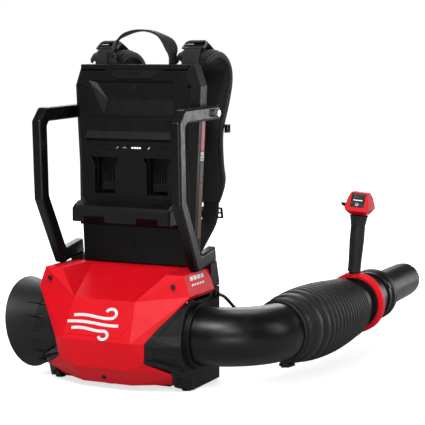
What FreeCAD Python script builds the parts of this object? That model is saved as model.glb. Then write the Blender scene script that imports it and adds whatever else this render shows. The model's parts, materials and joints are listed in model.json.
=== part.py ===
import FreeCAD, Part
import math
import os
from FreeCAD import Vector

# Backpack leaf blower, millimetres.
# Origin: floor level, in the middle of the pack between the two ends of the fan base.
# +X is the wearer's right, where the air leaves. +Y points forward, the way the air is blown and
# the side that the harness is on. +Z is up. The batteries go in from the -Y side.

# ---- driving dimensions -------------------------------------------------------------------------
WALL = 3.0                      # moulded wall
GAP = 0.6                       # panel gap between fixed mouldings
RUNNING = 0.05                  # radial clearance of a shaft or tube that turns in its bore
SCREW_R = 2.0                   # shank of the housing screws
SCREW_HEAD_R = 4.2

FAN_Y, FAN_Z = -82.0, 100.0     # fan axis, parallel to X
END_X = 150.0                   # outlet and intake faces
REAR_Y = 10.0                   # rear of the base
COVER_REAR_Y = -28.0            # rear edge of the fan cover
COVER_TOP_Z = 216.0
END_TOP_Z = 178.0
PAD_H = 3.0                     # rubber feet

DUCT_R = 64.0                   # fan duct bore at the fan
OUTLET_R = 51.0                 # fan duct bore at the outlet
SHAFT_R = 4.0

BEND_X = END_X + 9.0            # the elbow runs straight to here, then bends
BEND_R = 113.0                  # elbow bend on its centreline
BEND_DEG = 80.0                 # the bellows makes up the rest of a quarter turn
ELBOW_R = 54.0                  # elbow outside
BELLOWS_END_Y = 304.0
TUBE_R = 47.0                   # blow tube outside
TUBE_Y0, TUBE_Y1 = 282.0, 486.0
SPIGOT_R = 36.0                 # spigot that carries the nozzle
NOZZLE_Y0, NOZZLE_Y1 = 490.0, 707.0
TIP_R = 36.5                    # plain end of the nozzle, which takes an extension

RING_Y = 368.0                  # control handle ring on the tube
RING_R = 62.5
RING_W = 22.0
GRIP_LEAN = 4.5                 # degrees, towards +X
GRIP_H = 122.0

PLATE_Y0, PLATE_Y1 = -46.0, 0.0
PLATE_EDGE = 13.0               # chamfer around the front of the plate
STEM_Y = -34.0                  # front of the plate below the dock
PLATE_TOP_Z = 592.0
PLATE_WIDE_Z = 552.0
PLATE_LOW_Z = 217.0
PLATE_WIDE_X = 132.0            # half widths of the back plate
PLATE_TOP_X = 118.0
PLATE_LOW_X = 116.0

DOCK_Y = -60.0                  # front of the battery dock
DOCK_X = 116.0
BAY_X = 55.0                    # centre of each battery bay
BAY_HALF = 22.0
BAY_Z0, BAY_Z1 = 350.0, 419.0
LENS_Z0, LENS_Z1 = 433.0, 442.0   # charge indicator in the dock's front
BAY_FLOOR_Y = -30.0
SHELF_Y = -102.0
SHELF_Z = 328.0

BAR_X = 142.0                   # guard handles
BAR_T = 20.0                    # bar thickness along X
BAR_H = 26.0                    # bar depth in its own plane

HANDLE_BOLT = (-16.0, 503.0)     # y, z of the bolts that hold the handles' top arms

STRAP_X = 92.0                  # harness
PAD_W = 76.0
WEB_W = 38.0

LEAN_LEFT = math.radians(90 - BEND_DEG)
BEND = math.radians(BEND_DEG)
ELBOW_END = (BEND_X + BEND_R * math.sin(BEND), FAN_Y + BEND_R * (1 - math.cos(BEND)))
BELLOWS_R = (BELLOWS_END_Y - ELBOW_END[1]) / math.sin(LEAN_LEFT)      # bend radius of the bellows
TUBE_X = ELBOW_END[0] + BELLOWS_R * (1 - math.cos(LEAN_LEFT))          # axis of the blow tube

os.makedirs("parts", exist_ok=True)


# ---- small tools --------------------------------------------------------------------------------
def save(node, shape):
    shape.exportStep("parts/" + node + ".step")


def box(x0, x1, y0, y1, z0, z1):
    return Part.makeBox(x1 - x0, y1 - y0, z1 - z0, Vector(x0, y0, z0))


def rod(start, direction, radius, length):
    return Part.makeCylinder(radius, length, Vector(*start), Vector(*direction))


def sleeve(start, direction, outer, inner, length):
    return rod(start, direction, outer, length).cut(rod(start, direction, inner, length))


def join(shapes):
    shapes = list(shapes)
    return shapes[0].multiFuse(shapes[1:]).removeSplitter()


def mirror_x(shape):
    return shape.mirror(Vector(0, 0, 0), Vector(1, 0, 0))


def both_sides(shape):
    return Part.makeCompound([shape, mirror_x(shape)])


def face_of(points):
    corners = [Vector(*p) for p in points]
    return Part.Face(Part.makePolygon(corners + corners[:1]))


def prism(points, axis, low, high):
    """Extrude an outline given in the two other axes from low to high along axis."""
    place = {"X": lambda a, b: (low, a, b), "Y": lambda a, b: (a, low, b), "Z": lambda a, b: (a, b, low)}
    push = {"X": Vector(high - low, 0, 0), "Y": Vector(0, high - low, 0), "Z": Vector(0, 0, high - low)}
    return face_of([place[axis](a, b) for a, b in points]).extrude(push[axis])


def lathe(profile, origin, axis):
    """Turn an outline of (distance along the axis, radius) points about the axis X, Y or Z."""
    ox, oy, oz = origin
    place = {"X": lambda s, r: (ox + s, oy + r, oz), "Y": lambda s, r: (ox, oy + s, oz + r),
             "Z": lambda s, r: (ox + r, oy, oz + s)}
    turn = {"X": Vector(1, 0, 0), "Y": Vector(0, 1, 0), "Z": Vector(0, 0, 1)}
    outline = face_of([place[axis](s, r) for s, r in profile])
    return outline.revolve(Vector(ox, oy, oz), turn[axis], 360)


def trim(shape, point, outward):
    """Remove everything of shape beyond the plane through point that faces outward."""
    size = 1500.0
    beyond = box(-size, size, -size, size, 0, size)
    beyond.Placement = FreeCAD.Placement(Vector(*point), FreeCAD.Rotation(Vector(0, 0, 1), Vector(*outward)))
    return shape.cut(beyond)


def polyhedron(corners, facets):
    """Solid from named corners; a facet is a string of corner names, split into triangles if it bends."""
    faces = []
    for names in facets:
        points = [Vector(*corners[n]) for n in names.split()]
        normal = (points[1] - points[0]).cross(points[2] - points[0]).normalize()
        if max(abs((p - points[0]).dot(normal)) for p in points) < 1e-6:
            faces.append(face_of(points))
        else:
            faces += [face_of([points[0], p, q]) for p, q in zip(points[1:], points[2:])]
    solid = Part.makeSolid(Part.makeShell(faces))
    if solid.Volume < 0:
        solid.reverse()
    return solid


def strip_outline(path, half_width):
    """Outline of a bar of constant width along a path of (a, b) points, with mitred corners."""
    def normal(p, q):
        length = math.hypot(q[0] - p[0], q[1] - p[1])
        return (p[1] - q[1]) / length, (q[0] - p[0]) / length

    sides = [normal(p, q) for p, q in zip(path, path[1:])]
    before = sides[:1] + sides
    after = sides + sides[-1:]
    left, right = [], []
    for (a, b), m, n in zip(path, before, after):
        grow = half_width / (1 + m[0] * n[0] + m[1] * n[1])
        da, db = (m[0] + n[0]) * grow, (m[1] + n[1]) * grow
        left.append((a + da, b + db))
        right.append((a - da, b - db))
    return left + right[::-1]


def parallel_edges(shape, direction):
    """Straight edges of shape that run along direction."""
    found = []
    for edge in shape.Edges:
        along = edge.Vertexes[-1].Point - edge.Vertexes[0].Point
        if along.Length > 1.0 and abs(along.normalize().dot(Vector(*direction))) > 0.999:
            found.append(edge)
    return found


def smooth_path(points):
    curve = Part.BSplineCurve()
    curve.interpolate([Vector(*p) for p in points])
    return Part.Wire([curve.toShape()])


def cord(points, radius):
    """Round cord along a smooth path."""
    path = smooth_path(points)
    start = Vector(*points[0])
    heading = path.Edges[0].tangentAt(path.Edges[0].FirstParameter)
    ring = Part.Wire([Part.makeCircle(radius, start, heading)])
    return path.makePipeShell([ring], True, True)


def screw(point, inward, length, head_r=SCREW_HEAD_R, shank_r=SCREW_R):
    """Pan-head screw with a hexagon socket; point is the underside of its head."""
    head_h = head_r * 0.7
    aim = Vector(*inward).normalize()
    top = Vector(*point) - aim * head_h
    head = Part.makeCylinder(head_r, head_h, top, aim)
    shank = Part.makeCylinder(shank_r, length, Vector(*point), aim)
    socket = Part.makeCylinder(head_r * 0.45, head_h * 0.6, top, aim)
    return head.fuse(shank).cut(socket)


def screw_hole(point, inward, length, head_r=SCREW_HEAD_R, shank_r=SCREW_R):
    """Well for the head, open to the outside, and clearance hole for the shank."""
    aim = Vector(*inward).normalize()
    well = Part.makeCylinder(head_r + 0.5, 30.0, Vector(*point), aim * -1)
    hole = Part.makeCylinder(shank_r + 0.1, length + 2.0, Vector(*point), aim)
    return well.fuse(hole)


# ---- fan base -----------------------------------------------------------------------------------
# Corners of the cover's right half. The left half is its mirror image.
COVER = {
    "rear_mid": (0, COVER_REAR_Y, COVER_TOP_Z),
    "rear_bowl": (99, COVER_REAR_Y, COVER_TOP_Z),
    "rear_out": (144, COVER_REAR_Y, COVER_TOP_Z),
    "shoulder_in": (109, -131, COVER_TOP_Z),
    "shoulder_out": (143, -131, COVER_TOP_Z),
    "brow_mid": (0, -163, 168),
    "brow": (63, -163, 168),
    "nose_mid": (0, -197, 98),
    "nose": (69, -197, 98),
    "jaw_mid": (0, -184, 46),
    "jaw": (56, -184, 46),
    "chin_mid": (0, -155, 12),
    "chin": (50, -155, 12),
    "cheek": (157, -131, 179),
    "cheek_rear": (157, COVER_REAR_Y, 179),
    "tip_top": (92, -185, 98),
    "tip_low": (88, -179, 60),
    "heel": (127, -151, 38),
    "toe": (119, -115, 12),
    "tip_top_rear": (92, COVER_REAR_Y, 98),
    "tip_low_rear": (88, COVER_REAR_Y, 60),
    "heel_rear": (127, COVER_REAR_Y, 38),
    "toe_rear": (119, COVER_REAR_Y, 12),
    "low_mid_rear": (0, COVER_REAR_Y, 12),
    "low_rear": (50, COVER_REAR_Y, 12),
}
COVER_FACETS = [
    "rear_mid rear_bowl brow brow_mid",
    "rear_bowl shoulder_in brow",
    "rear_bowl rear_out shoulder_out shoulder_in",
    "shoulder_in shoulder_out brow",
    "shoulder_out cheek brow",
    "cheek nose brow",
    "cheek tip_top nose",
    "brow_mid brow nose nose_mid",
    "rear_out cheek_rear cheek shoulder_out",
    "nose_mid nose jaw jaw_mid",
    "nose tip_top tip_low",
    "nose tip_low jaw",
    "jaw_mid jaw chin chin_mid",
    "jaw tip_low heel",
    "jaw heel chin",
    "heel toe chin",
    "cheek cheek_rear tip_top_rear tip_top",
    "tip_top tip_top_rear tip_low_rear tip_low",
    "tip_low tip_low_rear heel_rear heel",
    "heel heel_rear toe_rear toe",
    "chin_mid chin low_rear low_mid_rear",
    "chin toe toe_rear low_rear",
    "rear_mid brow_mid nose_mid jaw_mid chin_mid low_mid_rear",
    "rear_mid low_mid_rear low_rear toe_rear heel_rear tip_low_rear tip_top_rear cheek_rear rear_out rear_bowl",
]
SHOULDER_SCREW = ((128, -141, 196), (0, 0.82, -0.57))
CHIN_SCREW = ((0, -166, 26), (0, 0.76, 0.65))
CABLE_START = (-6, 165)          # y, z of the cable's exit on the outlet face
FOOT_SCREW = ((133, -124, 13), (-0.28, 0.72, 0.63))


def cover_solid(grow=0.0):
    """Outer form of the cover, or a copy whose corners are moved out (or in) from its middle."""
    middle = (0, -95, 110)
    factors = (1 + grow / 110, 1 + grow / 80, 1 + grow / 95)
    corners = {}
    for name, point in COVER.items():
        corners[name] = [m + (p - m) * f for p, m, f in zip(point, middle, factors)]
    half = polyhedron(corners, COVER_FACETS)
    return half.fuse(mirror_x(half)).removeSplitter()


def cover_screws_places():
    point, aim = SHOULDER_SCREW
    mirrored = ((-point[0], point[1], point[2]), aim)
    return [(point, aim), mirrored, CHIN_SCREW]


def fan_cover(outer):
    """Thin shell, open at the back and below, with a short return along its side edges."""
    core = cover_solid(-WALL)
    shell = outer.cut(core.fuse(core.translated(Vector(0, 40, 0))))
    behind = cover_solid(1.0).translated(Vector(0, 14, 0)).common(box(-200, 200, -200, 10, 0, 172))
    shell = shell.cut(behind)
    bosses = []
    for point, aim in cover_screws_places():
        start = Vector(*point) - Vector(*aim).normalize() * 1.0
        bosses.append(Part.makeCylinder(7.5, 6, start, Vector(*aim)))
    shell = join([shell] + [boss.common(outer) for boss in bosses])
    for point, aim in cover_screws_places():
        shell = shell.cut(screw_hole(point, aim, 8))
    badge = prism([(-62, 106), (46, 106), (63, 134), (50, 158), (-58, 158)], "Y", -230, -120)
    raised = badge.common(outer.translated(Vector(0, -0.9, 0)).cut(outer))
    return shell.fuse(raised).removeSplitter().Solids[0]


INNER_X = 84.0                   # an end of the base runs from here, inside the cover, to its outer face
# Outlines (y, z) of an end of the base: on its outer face, which is round in front of the fan's axis, and at
# INNER_X, where it has swollen to the cover's width.
END_OUTLINE = [(-104, 178), (-128, 162), (-143, 139), (-153, 112), (-155, 92), (-149, 69), (-131, 46),
               (-112, 24), (-105, 3), (10, 3), (10, 178)]
INNER_OUTLINE = [(-160, 178), (-182, 162), (-189, 139), (-188, 112), (-187, 92), (-183, 69), (-195, 46),
                 (-165, 24), (-105, 3), (10, 3), (10, 178)]


def inwards(inset, away):
    """inset with the sign that moves a coordinate towards the middle; away is its distance from there."""
    return -inset if away > 0 else inset


def end_section(x, inset):
    """Section of an end of the base at x, moved inwards by inset."""
    share = (x - INNER_X) / (END_X - INNER_X)
    points = []
    for inner, outer in zip(INNER_OUTLINE, END_OUTLINE):
        y, z = (a + share * (b - a) for a, b in zip(inner, outer))
        points.append((x, y + inwards(inset, y - FAN_Y), z + inwards(inset, z - 90)))
    return points


def end_block(inset):
    """Outer form of an end of the base, or its cavity when inset is a wall thickness."""
    corners = {}
    for side, x in (("in", INNER_X - 4 * abs(inset)), ("out", END_X - inset)):
        for i, point in enumerate(end_section(x, inset)):
            corners["%s%d" % (side, i)] = point
    count = len(END_OUTLINE)
    facets = [" ".join("%s%d" % (side, i) for i in range(count)) for side in ("in", "out")]
    for i in range(count):
        facets.append("in%d out%d out%d in%d" % (i, i, (i + 1) % count, (i + 1) % count))
    block = polyhedron(corners, facets)
    under = Vector(0.279, -0.724, -0.629)
    block = block.cut(box(0, 121 + inset, -200, -60 + inset, 0, 13 + inset))
    return trim(block, Vector(123, -113, 0) - under * inset, under)


def beside_cover():
    """Space that the cover fills when seen from the front: the ends of the base stay outside it."""
    names = ("toe", "heel", "tip_low", "tip_top", "cheek")
    edge = [(COVER[name][0], COVER[name][2]) for name in names]
    return prism([(0, 0), (COVER["toe"][0], 0)] + edge + [(157, 300), (0, 300)], "Y", -300, COVER_REAR_Y)


def end_housing(block, cavity, cover):
    """Right end of the base, without its openings."""
    foot = box(115, END_X - 1, -150, -80, PAD_H + 0.5, 24).common(end_block(0.5))
    body = block.cut(cavity.cut(foot))
    body = body.cut(box(0, 200, -200, COVER_REAR_Y + 20, END_TOP_Z - 1, 300))
    body = body.cut(beside_cover()).cut(cover).cut(cover.translated(Vector(GAP, 0, 0)))
    point, aim = FOOT_SCREW
    return body.cut(screw_hole(point, aim, 10))


def outlet_end_housing(cover):
    boss = rod((126, FAN_Y, FAN_Z), (1, 0, 0), 62, END_X + 4 - 126)
    body = end_housing(end_block(0).fuse(boss), end_block(WALL), cover)
    panel = prism([(146, 155), (104, 97), (103, 68), (146, 41)], "Y", -200, -120)
    body = body.cut(panel.common(end_block(0).cut(end_block(1.4))))
    body = body.cut(rod((100, FAN_Y, FAN_Z), (1, 0, 0), ELBOW_R + 3 + RUNNING, 60))
    body = body.cut(box(END_X - 6, END_X + 1, -98, -36, 165, 171))
    return max(body.cut(rod((END_X - 10,) + CABLE_START, (1, 0, 0), 6.0, 20)).Solids, key=lambda b: b.Volume)


def intake_relief(inset):
    """Space in front of the intake end for the bell's skirt, drawn for a right end like the rest."""
    ahead = prism([(92, -185), (152, -57), (260, -57), (260, -300), (92, -300)], "Z", 0, 300)
    above = prism([(60, 91), (92, 76), (150, 48), (260, -5), (260, 300), (60, 300)], "Y", -300, 0)
    return ahead.common(above).translated(Vector(-0.907, 0.421, -1) * inset)


def intake_block(inset):
    return end_block(inset).cut(intake_relief(inset))


def intake_end_housing(cover):
    boss = rod((126, FAN_Y, FAN_Z), (1, 0, 0), 66, END_X + 4 - 126).cut(intake_relief(0))
    body = end_housing(intake_block(0).fuse(boss), intake_block(WALL), cover)
    body = body.cut(rod((70, FAN_Y, FAN_Z), (1, 0, 0), DUCT_R + 4.5, 56))
    body = body.cut(rod((100, FAN_Y, FAN_Z), (1, 0, 0), 60.0, 80))
    return mirror_x(max(body.Solids, key=lambda b: b.Volume))


def base_chassis(cover, right_end, left_end):
    """Bottom tray, rear wall, top deck and the two blocks that the guard handles stand on."""
    tray = box(-110, 110, -118, REAR_Y - 2, PAD_H + 5, PAD_H + 10)
    wall = box(-END_X + 4, END_X - 4, REAR_Y - 4, REAR_Y, PAD_H + 1, 214)
    deck = box(-144, 144, COVER_REAR_Y + GAP, REAR_Y, 206, 216)
    blocks = []
    for side in (1, -1):
        post = prism([(COVER_REAR_Y + GAP, 180), (REAR_Y, 180), (REAR_Y, 186), (-3, 228.6),
                      (COVER_REAR_Y + GAP, 224.6)], "X", 126 * side, 150 * side)
        blocks.append(post)
    skid = box(-60, 60, -16, REAR_Y - 2, 0, PAD_H + 10)
    body = join([tray, wall, deck, skid] + blocks)
    point, aim = CHIN_SCREW
    boss = Part.makeCylinder(6, 22, Vector(*point) + Vector(*aim).normalize() * 8, Vector(*aim))
    body = join([body, boss, box(-6, 6, -146, -112, PAD_H + 6, 40)]).cut(screw_hole(point, aim, 8))
    body = body.cut(cover).cut(right_end).cut(left_end)
    body = body.cut(end_block(-GAP)).cut(mirror_x(end_block(-GAP)))
    return max(body.Solids, key=lambda s: s.Volume)


def foot_pads():
    pads = [rod((x, y, 0), (0, 0, 1), 9, PAD_H) for x in (134, -134) for y in (-98, -8)]
    return Part.makeCompound(pads)


# ---- fan and motor ------------------------------------------------------------------------------
AXIS_X = (0, FAN_Y, FAN_Z)
FAN_X0, FAN_X1 = -112.0, -82.0   # impeller blades
POD_X0, POD_X1 = -76.0, 44.0     # motor pod
POD_R = 34.0


TAPER_X0, TAPER_X1 = -60.0, 70.0


def duct_bore(x):
    """Radius of the duct's tapered bore between the fan and the outlet."""
    return DUCT_R - (DUCT_R - OUTLET_R) * (x - TAPER_X0) / (TAPER_X1 - TAPER_X0)


def fan_duct():
    wall = 2.5
    bore = [(-122, DUCT_R + 1.5), (-114, DUCT_R), (TAPER_X0, DUCT_R), (TAPER_X1, OUTLET_R), (136, OUTLET_R)]
    skin = [(x, r + wall) for x, r in bore]
    return lathe(bore + skin[::-1], AXIS_X, "X")


def stator_hub():
    """Motor pod with its vanes, which straighten the air and hold the pod in the duct."""
    pod = lathe([(POD_X0, 0), (POD_X0, POD_R), (POD_X1 - 40, POD_R), (POD_X1 - 10, 22), (POD_X1 + 20, 8),
                 (POD_X1 + 24, 0)], AXIS_X, "X")
    hollow = rod((POD_X0 + 4, FAN_Y, FAN_Z), (1, 0, 0), POD_R - 3, 74)
    pod = pod.cut(hollow).cut(rod((POD_X0 - 1, FAN_Y, FAN_Z), (1, 0, 0), 11.05, 6))
    pod = pod.fuse(sleeve((-8, FAN_Y, FAN_Z), (1, 0, 0), 16, 11.05, 12))
    vane = box(-58, -12, FAN_Y - 1.2, FAN_Y + 1.2, FAN_Z + POD_R - 1, FAN_Z + DUCT_R + 0.5)
    vanes = []
    for i in range(9):
        turned = vane.copy()
        turned.rotate(Vector(*AXIS_X), Vector(1, 0, 0), 40 * i)
        vanes.append(turned)
    inside = lathe([(TAPER_X0, 0), (TAPER_X0, DUCT_R - 0.2), (-10, duct_bore(-10) - 0.2), (-10, 0)], AXIS_X, "X")
    return join([pod] + [vane.common(inside) for vane in vanes])


def motor_stator():
    ring = sleeve((-60, FAN_Y, FAN_Z), (1, 0, 0), POD_R - 3.2, 24, 40)
    teeth = []
    for i in range(12):
        tooth = box(-58, -22, FAN_Y - 2, FAN_Y + 2, FAN_Z + 18, FAN_Z + 26)
        tooth.rotate(Vector(*AXIS_X), Vector(1, 0, 0), 30 * i)
        teeth.append(tooth)
    return join([ring] + teeth)


def motor_rotor():
    return sleeve((-58, FAN_Y, FAN_Z), (1, 0, 0), 17, SHAFT_R, 36)


def motor_shaft():
    return rod((-132, FAN_Y, FAN_Z), (1, 0, 0), SHAFT_R, 131)


def motor_bearings():
    places = (POD_X0 - 0.5, -6)
    return Part.makeCompound([sleeve((x, FAN_Y, FAN_Z), (1, 0, 0), 11, SHAFT_R + RUNNING, 6) for x in places])


def fan_impeller():
    hub = lathe([(FAN_X0 - 4, SHAFT_R), (FAN_X0 - 4, 12), (FAN_X0 + 6, 28), (FAN_X1 + 4, POD_R - 2),
                 (FAN_X1 + 4, SHAFT_R)], AXIS_X, "X")
    tip_r = DUCT_R - 1.5
    blades = []
    for i in range(11):
        blade = box(-19, 19, -1.3, 1.3, 24, tip_r + 4)
        blade.rotate(Vector(0, 0, 0), Vector(0, 0, 1), 35)
        blade.translate(Vector((FAN_X0 + FAN_X1) / 2, FAN_Y, FAN_Z))
        blade.rotate(Vector(*AXIS_X), Vector(1, 0, 0), 360 / 11 * i)
        blades.append(blade)
    sweep = sleeve((FAN_X0 - 2, FAN_Y, FAN_Z), (1, 0, 0), tip_r, 22, FAN_X1 - FAN_X0 + 4)
    body = join([hub] + [blade.common(sweep) for blade in blades])
    return body.cut(rod((-200, FAN_Y, FAN_Z), (1, 0, 0), SHAFT_R, 200))


def hex_prism(start, direction, across_flats, length):
    radius = across_flats / math.sqrt(3)
    points = [(radius * math.cos(math.radians(60 * i)), radius * math.sin(math.radians(60 * i)), 0)
              for i in range(6)]
    nut = face_of(points).extrude(Vector(0, 0, length))
    nut.Placement = FreeCAD.Placement(Vector(*start), FreeCAD.Rotation(Vector(0, 0, 1), Vector(*direction)))
    return nut


def fan_nut():
    nut = hex_prism((FAN_X0 - 10.2, FAN_Y, FAN_Z), (1, 0, 0), 13, 6)
    return nut.cut(rod((-160, FAN_Y, FAN_Z), (1, 0, 0), SHAFT_R, 100))


# ---- intake and outlet --------------------------------------------------------------------------
RIM_TILT = 9.5                  # the intake rim looks down a little
RIM_YAW = 4.0


def bell_ring(x, y, z, radius, share):
    """Circle of the intake bell; share says how far it has turned towards the rim's direction."""
    tilt = math.radians(RIM_TILT * share)
    yaw = math.radians(RIM_YAW * share)
    facing = Vector(-math.cos(yaw) * math.cos(tilt), math.sin(yaw) * math.cos(tilt), -math.sin(tilt))
    return Part.Wire([Part.makeCircle(radius, Vector(x, y, z), facing)])


def intake_bell(cover):
    """Flared bell on the intake end, with a skirt that runs on under the cover's edge, and ribs along it."""
    seat = -END_X - 4.3
    stations = [(seat, FAN_Y, FAN_Z, 74, 0), (-166, FAN_Y, FAN_Z, 76.5, 0.3), (-184, -83, 99.5, 80.5, 0.7),
                (-202, -84, 99, 87, 1)]
    bores = [(seat - 4, FAN_Y, FAN_Z, 71, 0), (-168, FAN_Y, FAN_Z, 73.5, 0.3), (-185, -83, 99.5, 77.5, 0.7),
             (-206, -84, 99, 87, 1)]
    body = Part.makeLoft([bell_ring(*s) for s in stations], True)
    body = body.cut(Part.makeLoft([bell_ring(*s) for s in bores], True))
    skirt = lathe([(-98, 69.2), (-98, 72), (seat, 74), (seat, 71)], AXIS_X, "X")
    clear = mirror_x(intake_block(-2 * GAP).fuse(beside_cover()))
    skirt = skirt.cut(clear).cut(cover)
    skirt = max(skirt.Solids, key=lambda b: b.Volume)
    ribs = []
    for i in range(7):
        rib = prism([(-128, FAN_Z + 71), (-186, FAN_Z + 78), (-146, FAN_Z + 77.5)], "Y", FAN_Y - 1.1, FAN_Y + 1.1)
        rib.rotate(Vector(*AXIS_X), Vector(1, 0, 0), 52 + 19 * i)
        ribs.append(rib.cut(clear))
    spigot = rod((seat - 1, FAN_Y, FAN_Z), (1, 0, 0), 59.8, 14)
    body = join([body, skirt, spigot] + ribs)
    return body.cut(rod((seat - 10, FAN_Y, FAN_Z), (1, 0, 0), 57, 40)).removeSplitter()


def intake_grille():
    x = -END_X - 11.6
    rings = [sleeve((x, FAN_Y, FAN_Z), (1, 0, 0), r + 1.2, r - 1.2, 3) for r in (14, 28, 42, 56)]
    bars = []
    for i in range(6):
        bar = box(x, x + 3, FAN_Y - 1.4, FAN_Y + 1.4, FAN_Z + 8, FAN_Z + 62)
        bar.rotate(Vector(*AXIS_X), Vector(1, 0, 0), 60 * i)
        bars.append(bar)
    hub = rod((x, FAN_Y, FAN_Z), (1, 0, 0), 10, 3)
    return join([hub, sleeve((x, FAN_Y, FAN_Z), (1, 0, 0), 64, 60, 3)] + rings + bars)


def outlet_collar():
    return sleeve((END_X + 4.2, FAN_Y, FAN_Z), (1, 0, 0), 61, ELBOW_R + RUNNING, 4.6)


# ---- elbow, bellows, tube and nozzle ------------------------------------------------------------
def along_hose(distance):
    """Centre and heading at a distance past the elbow's bend: the bellows bends on to the tube."""
    turn = LEAN_LEFT - distance / BELLOWS_R
    if distance < 0:
        turn = LEAN_LEFT
        centre = Vector(ELBOW_END[0], ELBOW_END[1], FAN_Z) + Vector(math.sin(turn), math.cos(turn), 0) * distance
    else:
        centre = Vector(TUBE_X - BELLOWS_R * (1 - math.cos(turn)), BELLOWS_END_Y - BELLOWS_R * math.sin(turn), FAN_Z)
    return centre, Vector(math.sin(turn), math.cos(turn), 0)


def elbow_tube():
    start = Vector(138, FAN_Y, FAN_Z)
    corner = Vector(BEND_X, FAN_Y, FAN_Z)
    half = BEND / 2
    middle = Vector(BEND_X + BEND_R * math.sin(half), FAN_Y + BEND_R * (1 - math.cos(half)), FAN_Z)
    turned = Vector(ELBOW_END[0], ELBOW_END[1], FAN_Z)
    heading = Vector(math.sin(LEAN_LEFT), math.cos(LEAN_LEFT), 0)
    path = Part.Wire([Part.makeLine(start, corner), Part.Arc(corner, middle, turned).toShape(),
                      Part.makeLine(turned, turned + heading * 24)])
    skin = path.makePipeShell([Part.Wire([Part.makeCircle(ELBOW_R, start, Vector(1, 0, 0))])], True, False)
    bore = path.makePipeShell([Part.Wire([Part.makeCircle(ELBOW_R - WALL, start, Vector(1, 0, 0))])], True, False)
    flange = sleeve((140, FAN_Y, FAN_Z), (1, 0, 0), ELBOW_R + 3, ELBOW_R - 1, 8)
    return join([skin.cut(bore), flange])


BELLOWS_LENGTH = BELLOWS_R * LEAN_LEFT
BELLOWS_START = 3.0              # the cuff starts this far past the elbow's bend
FOLDS = 16


def bellows_profile():
    """Stations along the bellows: distance, outer radius and inner radius."""
    cuff = 24.0
    wall = 2.0
    pitch = (BELLOWS_LENGTH - BELLOWS_START - 2 * cuff) / FOLDS
    rows = [(BELLOWS_START, ELBOW_R + 3.5, ELBOW_R + 0.5), (BELLOWS_START + cuff - 3, ELBOW_R + 3.5, ELBOW_R + 0.5)]
    for i in range(FOLDS):
        crest = 62.0 + 9.0 * math.sin(math.pi * (i / (FOLDS - 1)) ** 0.7) - 4.0 * (i / (FOLDS - 1)) ** 4
        start = BELLOWS_START + cuff + pitch * i
        for part, drop in ((0.12, 6.5), (0.36, 0), (0.64, 0), (0.88, 6.5)):
            rows.append((start + part * pitch, crest - drop, crest - drop - wall))
    end = BELLOWS_LENGTH
    return rows + [(end - cuff + 3, TUBE_R + 3.5, TUBE_R + 0.5), (end, TUBE_R + 3.5, TUBE_R + 0.5)]


def bellows():
    """Corrugated rubber sleeve between the elbow and the blow tube, with a plain cuff at each end."""
    skins = []
    for column in (1, 2):
        rings = []
        for row in bellows_profile():
            centre, heading = along_hose(row[0])
            rings.append(Part.Wire([Part.makeCircle(row[column], centre, heading)]))
        skins.append(Part.makeLoft(rings, True, True))
    return skins[0].cut(skins[1])


def clamp_band(distance, radius, turned):
    """Band clamp around a cuff of the bellows; turned is where its screw housing sits, from below."""
    band = sleeve((0, 0, 0), (0, 1, 0), radius + 1.8, radius, 11)
    lug = box(-9, 9, -1, 12, -radius - 11, -radius - 0.8)
    worm = rod((-15, 5.5, -radius - 6), (1, 0, 0), 3.2, 32)
    body = join([band, lug, worm]).cut(rod((0, -2, 0), (0, 1, 0), radius, 20))
    body.rotate(Vector(0, 0, 0), Vector(0, 1, 0), turned)
    centre, heading = along_hose(distance)
    body.Placement = FreeCAD.Placement(centre, FreeCAD.Rotation(Vector(0, 1, 0), heading)).multiply(body.Placement)
    return body


def blow_tube():
    reach = TUBE_Y1 - TUBE_Y0
    outside = [(0, TUBE_R), (reach - 14, TUBE_R), (reach, SPIGOT_R), (reach + 74, SPIGOT_R)]
    inside = [(s, r - 2.5) for s, r in outside]
    return lathe(outside + inside[::-1], (TUBE_X, TUBE_Y0, FAN_Z), "Y")


def nozzle_lock_ring():
    """Flared bayonet ring at the front of the blow tube."""
    start = TUBE_Y1 - 40
    profile = [(0, TUBE_R + RUNNING), (0, TUBE_R + 3.5), (14, TUBE_R + 3.5), (20, TUBE_R + 7.5),
               (36, TUBE_R + 7.5), (40, TUBE_R + 6), (40, TUBE_R + 4), (24, TUBE_R + 4), (18, TUBE_R + RUNNING)]
    ring = lathe(profile, (TUBE_X, start, FAN_Z), "Y")
    for i in range(3):
        tab = box(TUBE_X - 6, TUBE_X + 6, start + 2, start + 14, FAN_Z + TUBE_R + 2, FAN_Z + TUBE_R + 6)
        tab.rotate(Vector(TUBE_X, 0, FAN_Z), Vector(0, 1, 0), 120 * i + 60)
        ring = ring.fuse(tab)
    return ring.removeSplitter()


def nozzle():
    length = NOZZLE_Y1 - NOZZLE_Y0
    bore = SPIGOT_R + RUNNING
    profile = [(0, bore), (0, 43), (5, 43), (10, 39.5), (length - 18, 38), (length - 16, TIP_R), (length, TIP_R),
               (length, 33.5), (100, 33.5), (96, bore)]
    body = lathe(profile, (TUBE_X, NOZZLE_Y0, FAN_Z), "Y")
    for i in range(12):
        notch = box(TUBE_X - 1.5, TUBE_X + 1.5, NOZZLE_Y1 - 3, NOZZLE_Y1 + 1, FAN_Z + 30, FAN_Z + 45)
        notch.rotate(Vector(TUBE_X, 0, FAN_Z), Vector(0, 1, 0), 30 * i)
        body = body.cut(notch)
    return body


# ---- control handle -----------------------------------------------------------------------------
RING = (TUBE_X, RING_Y, FAN_Z)
GRIP_FOOT = Vector(TUBE_X - 4, RING_Y, FAN_Z + RING_R - 2)
HEAD_Z = GRIP_H + 2              # underside of the head along the grip


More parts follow.
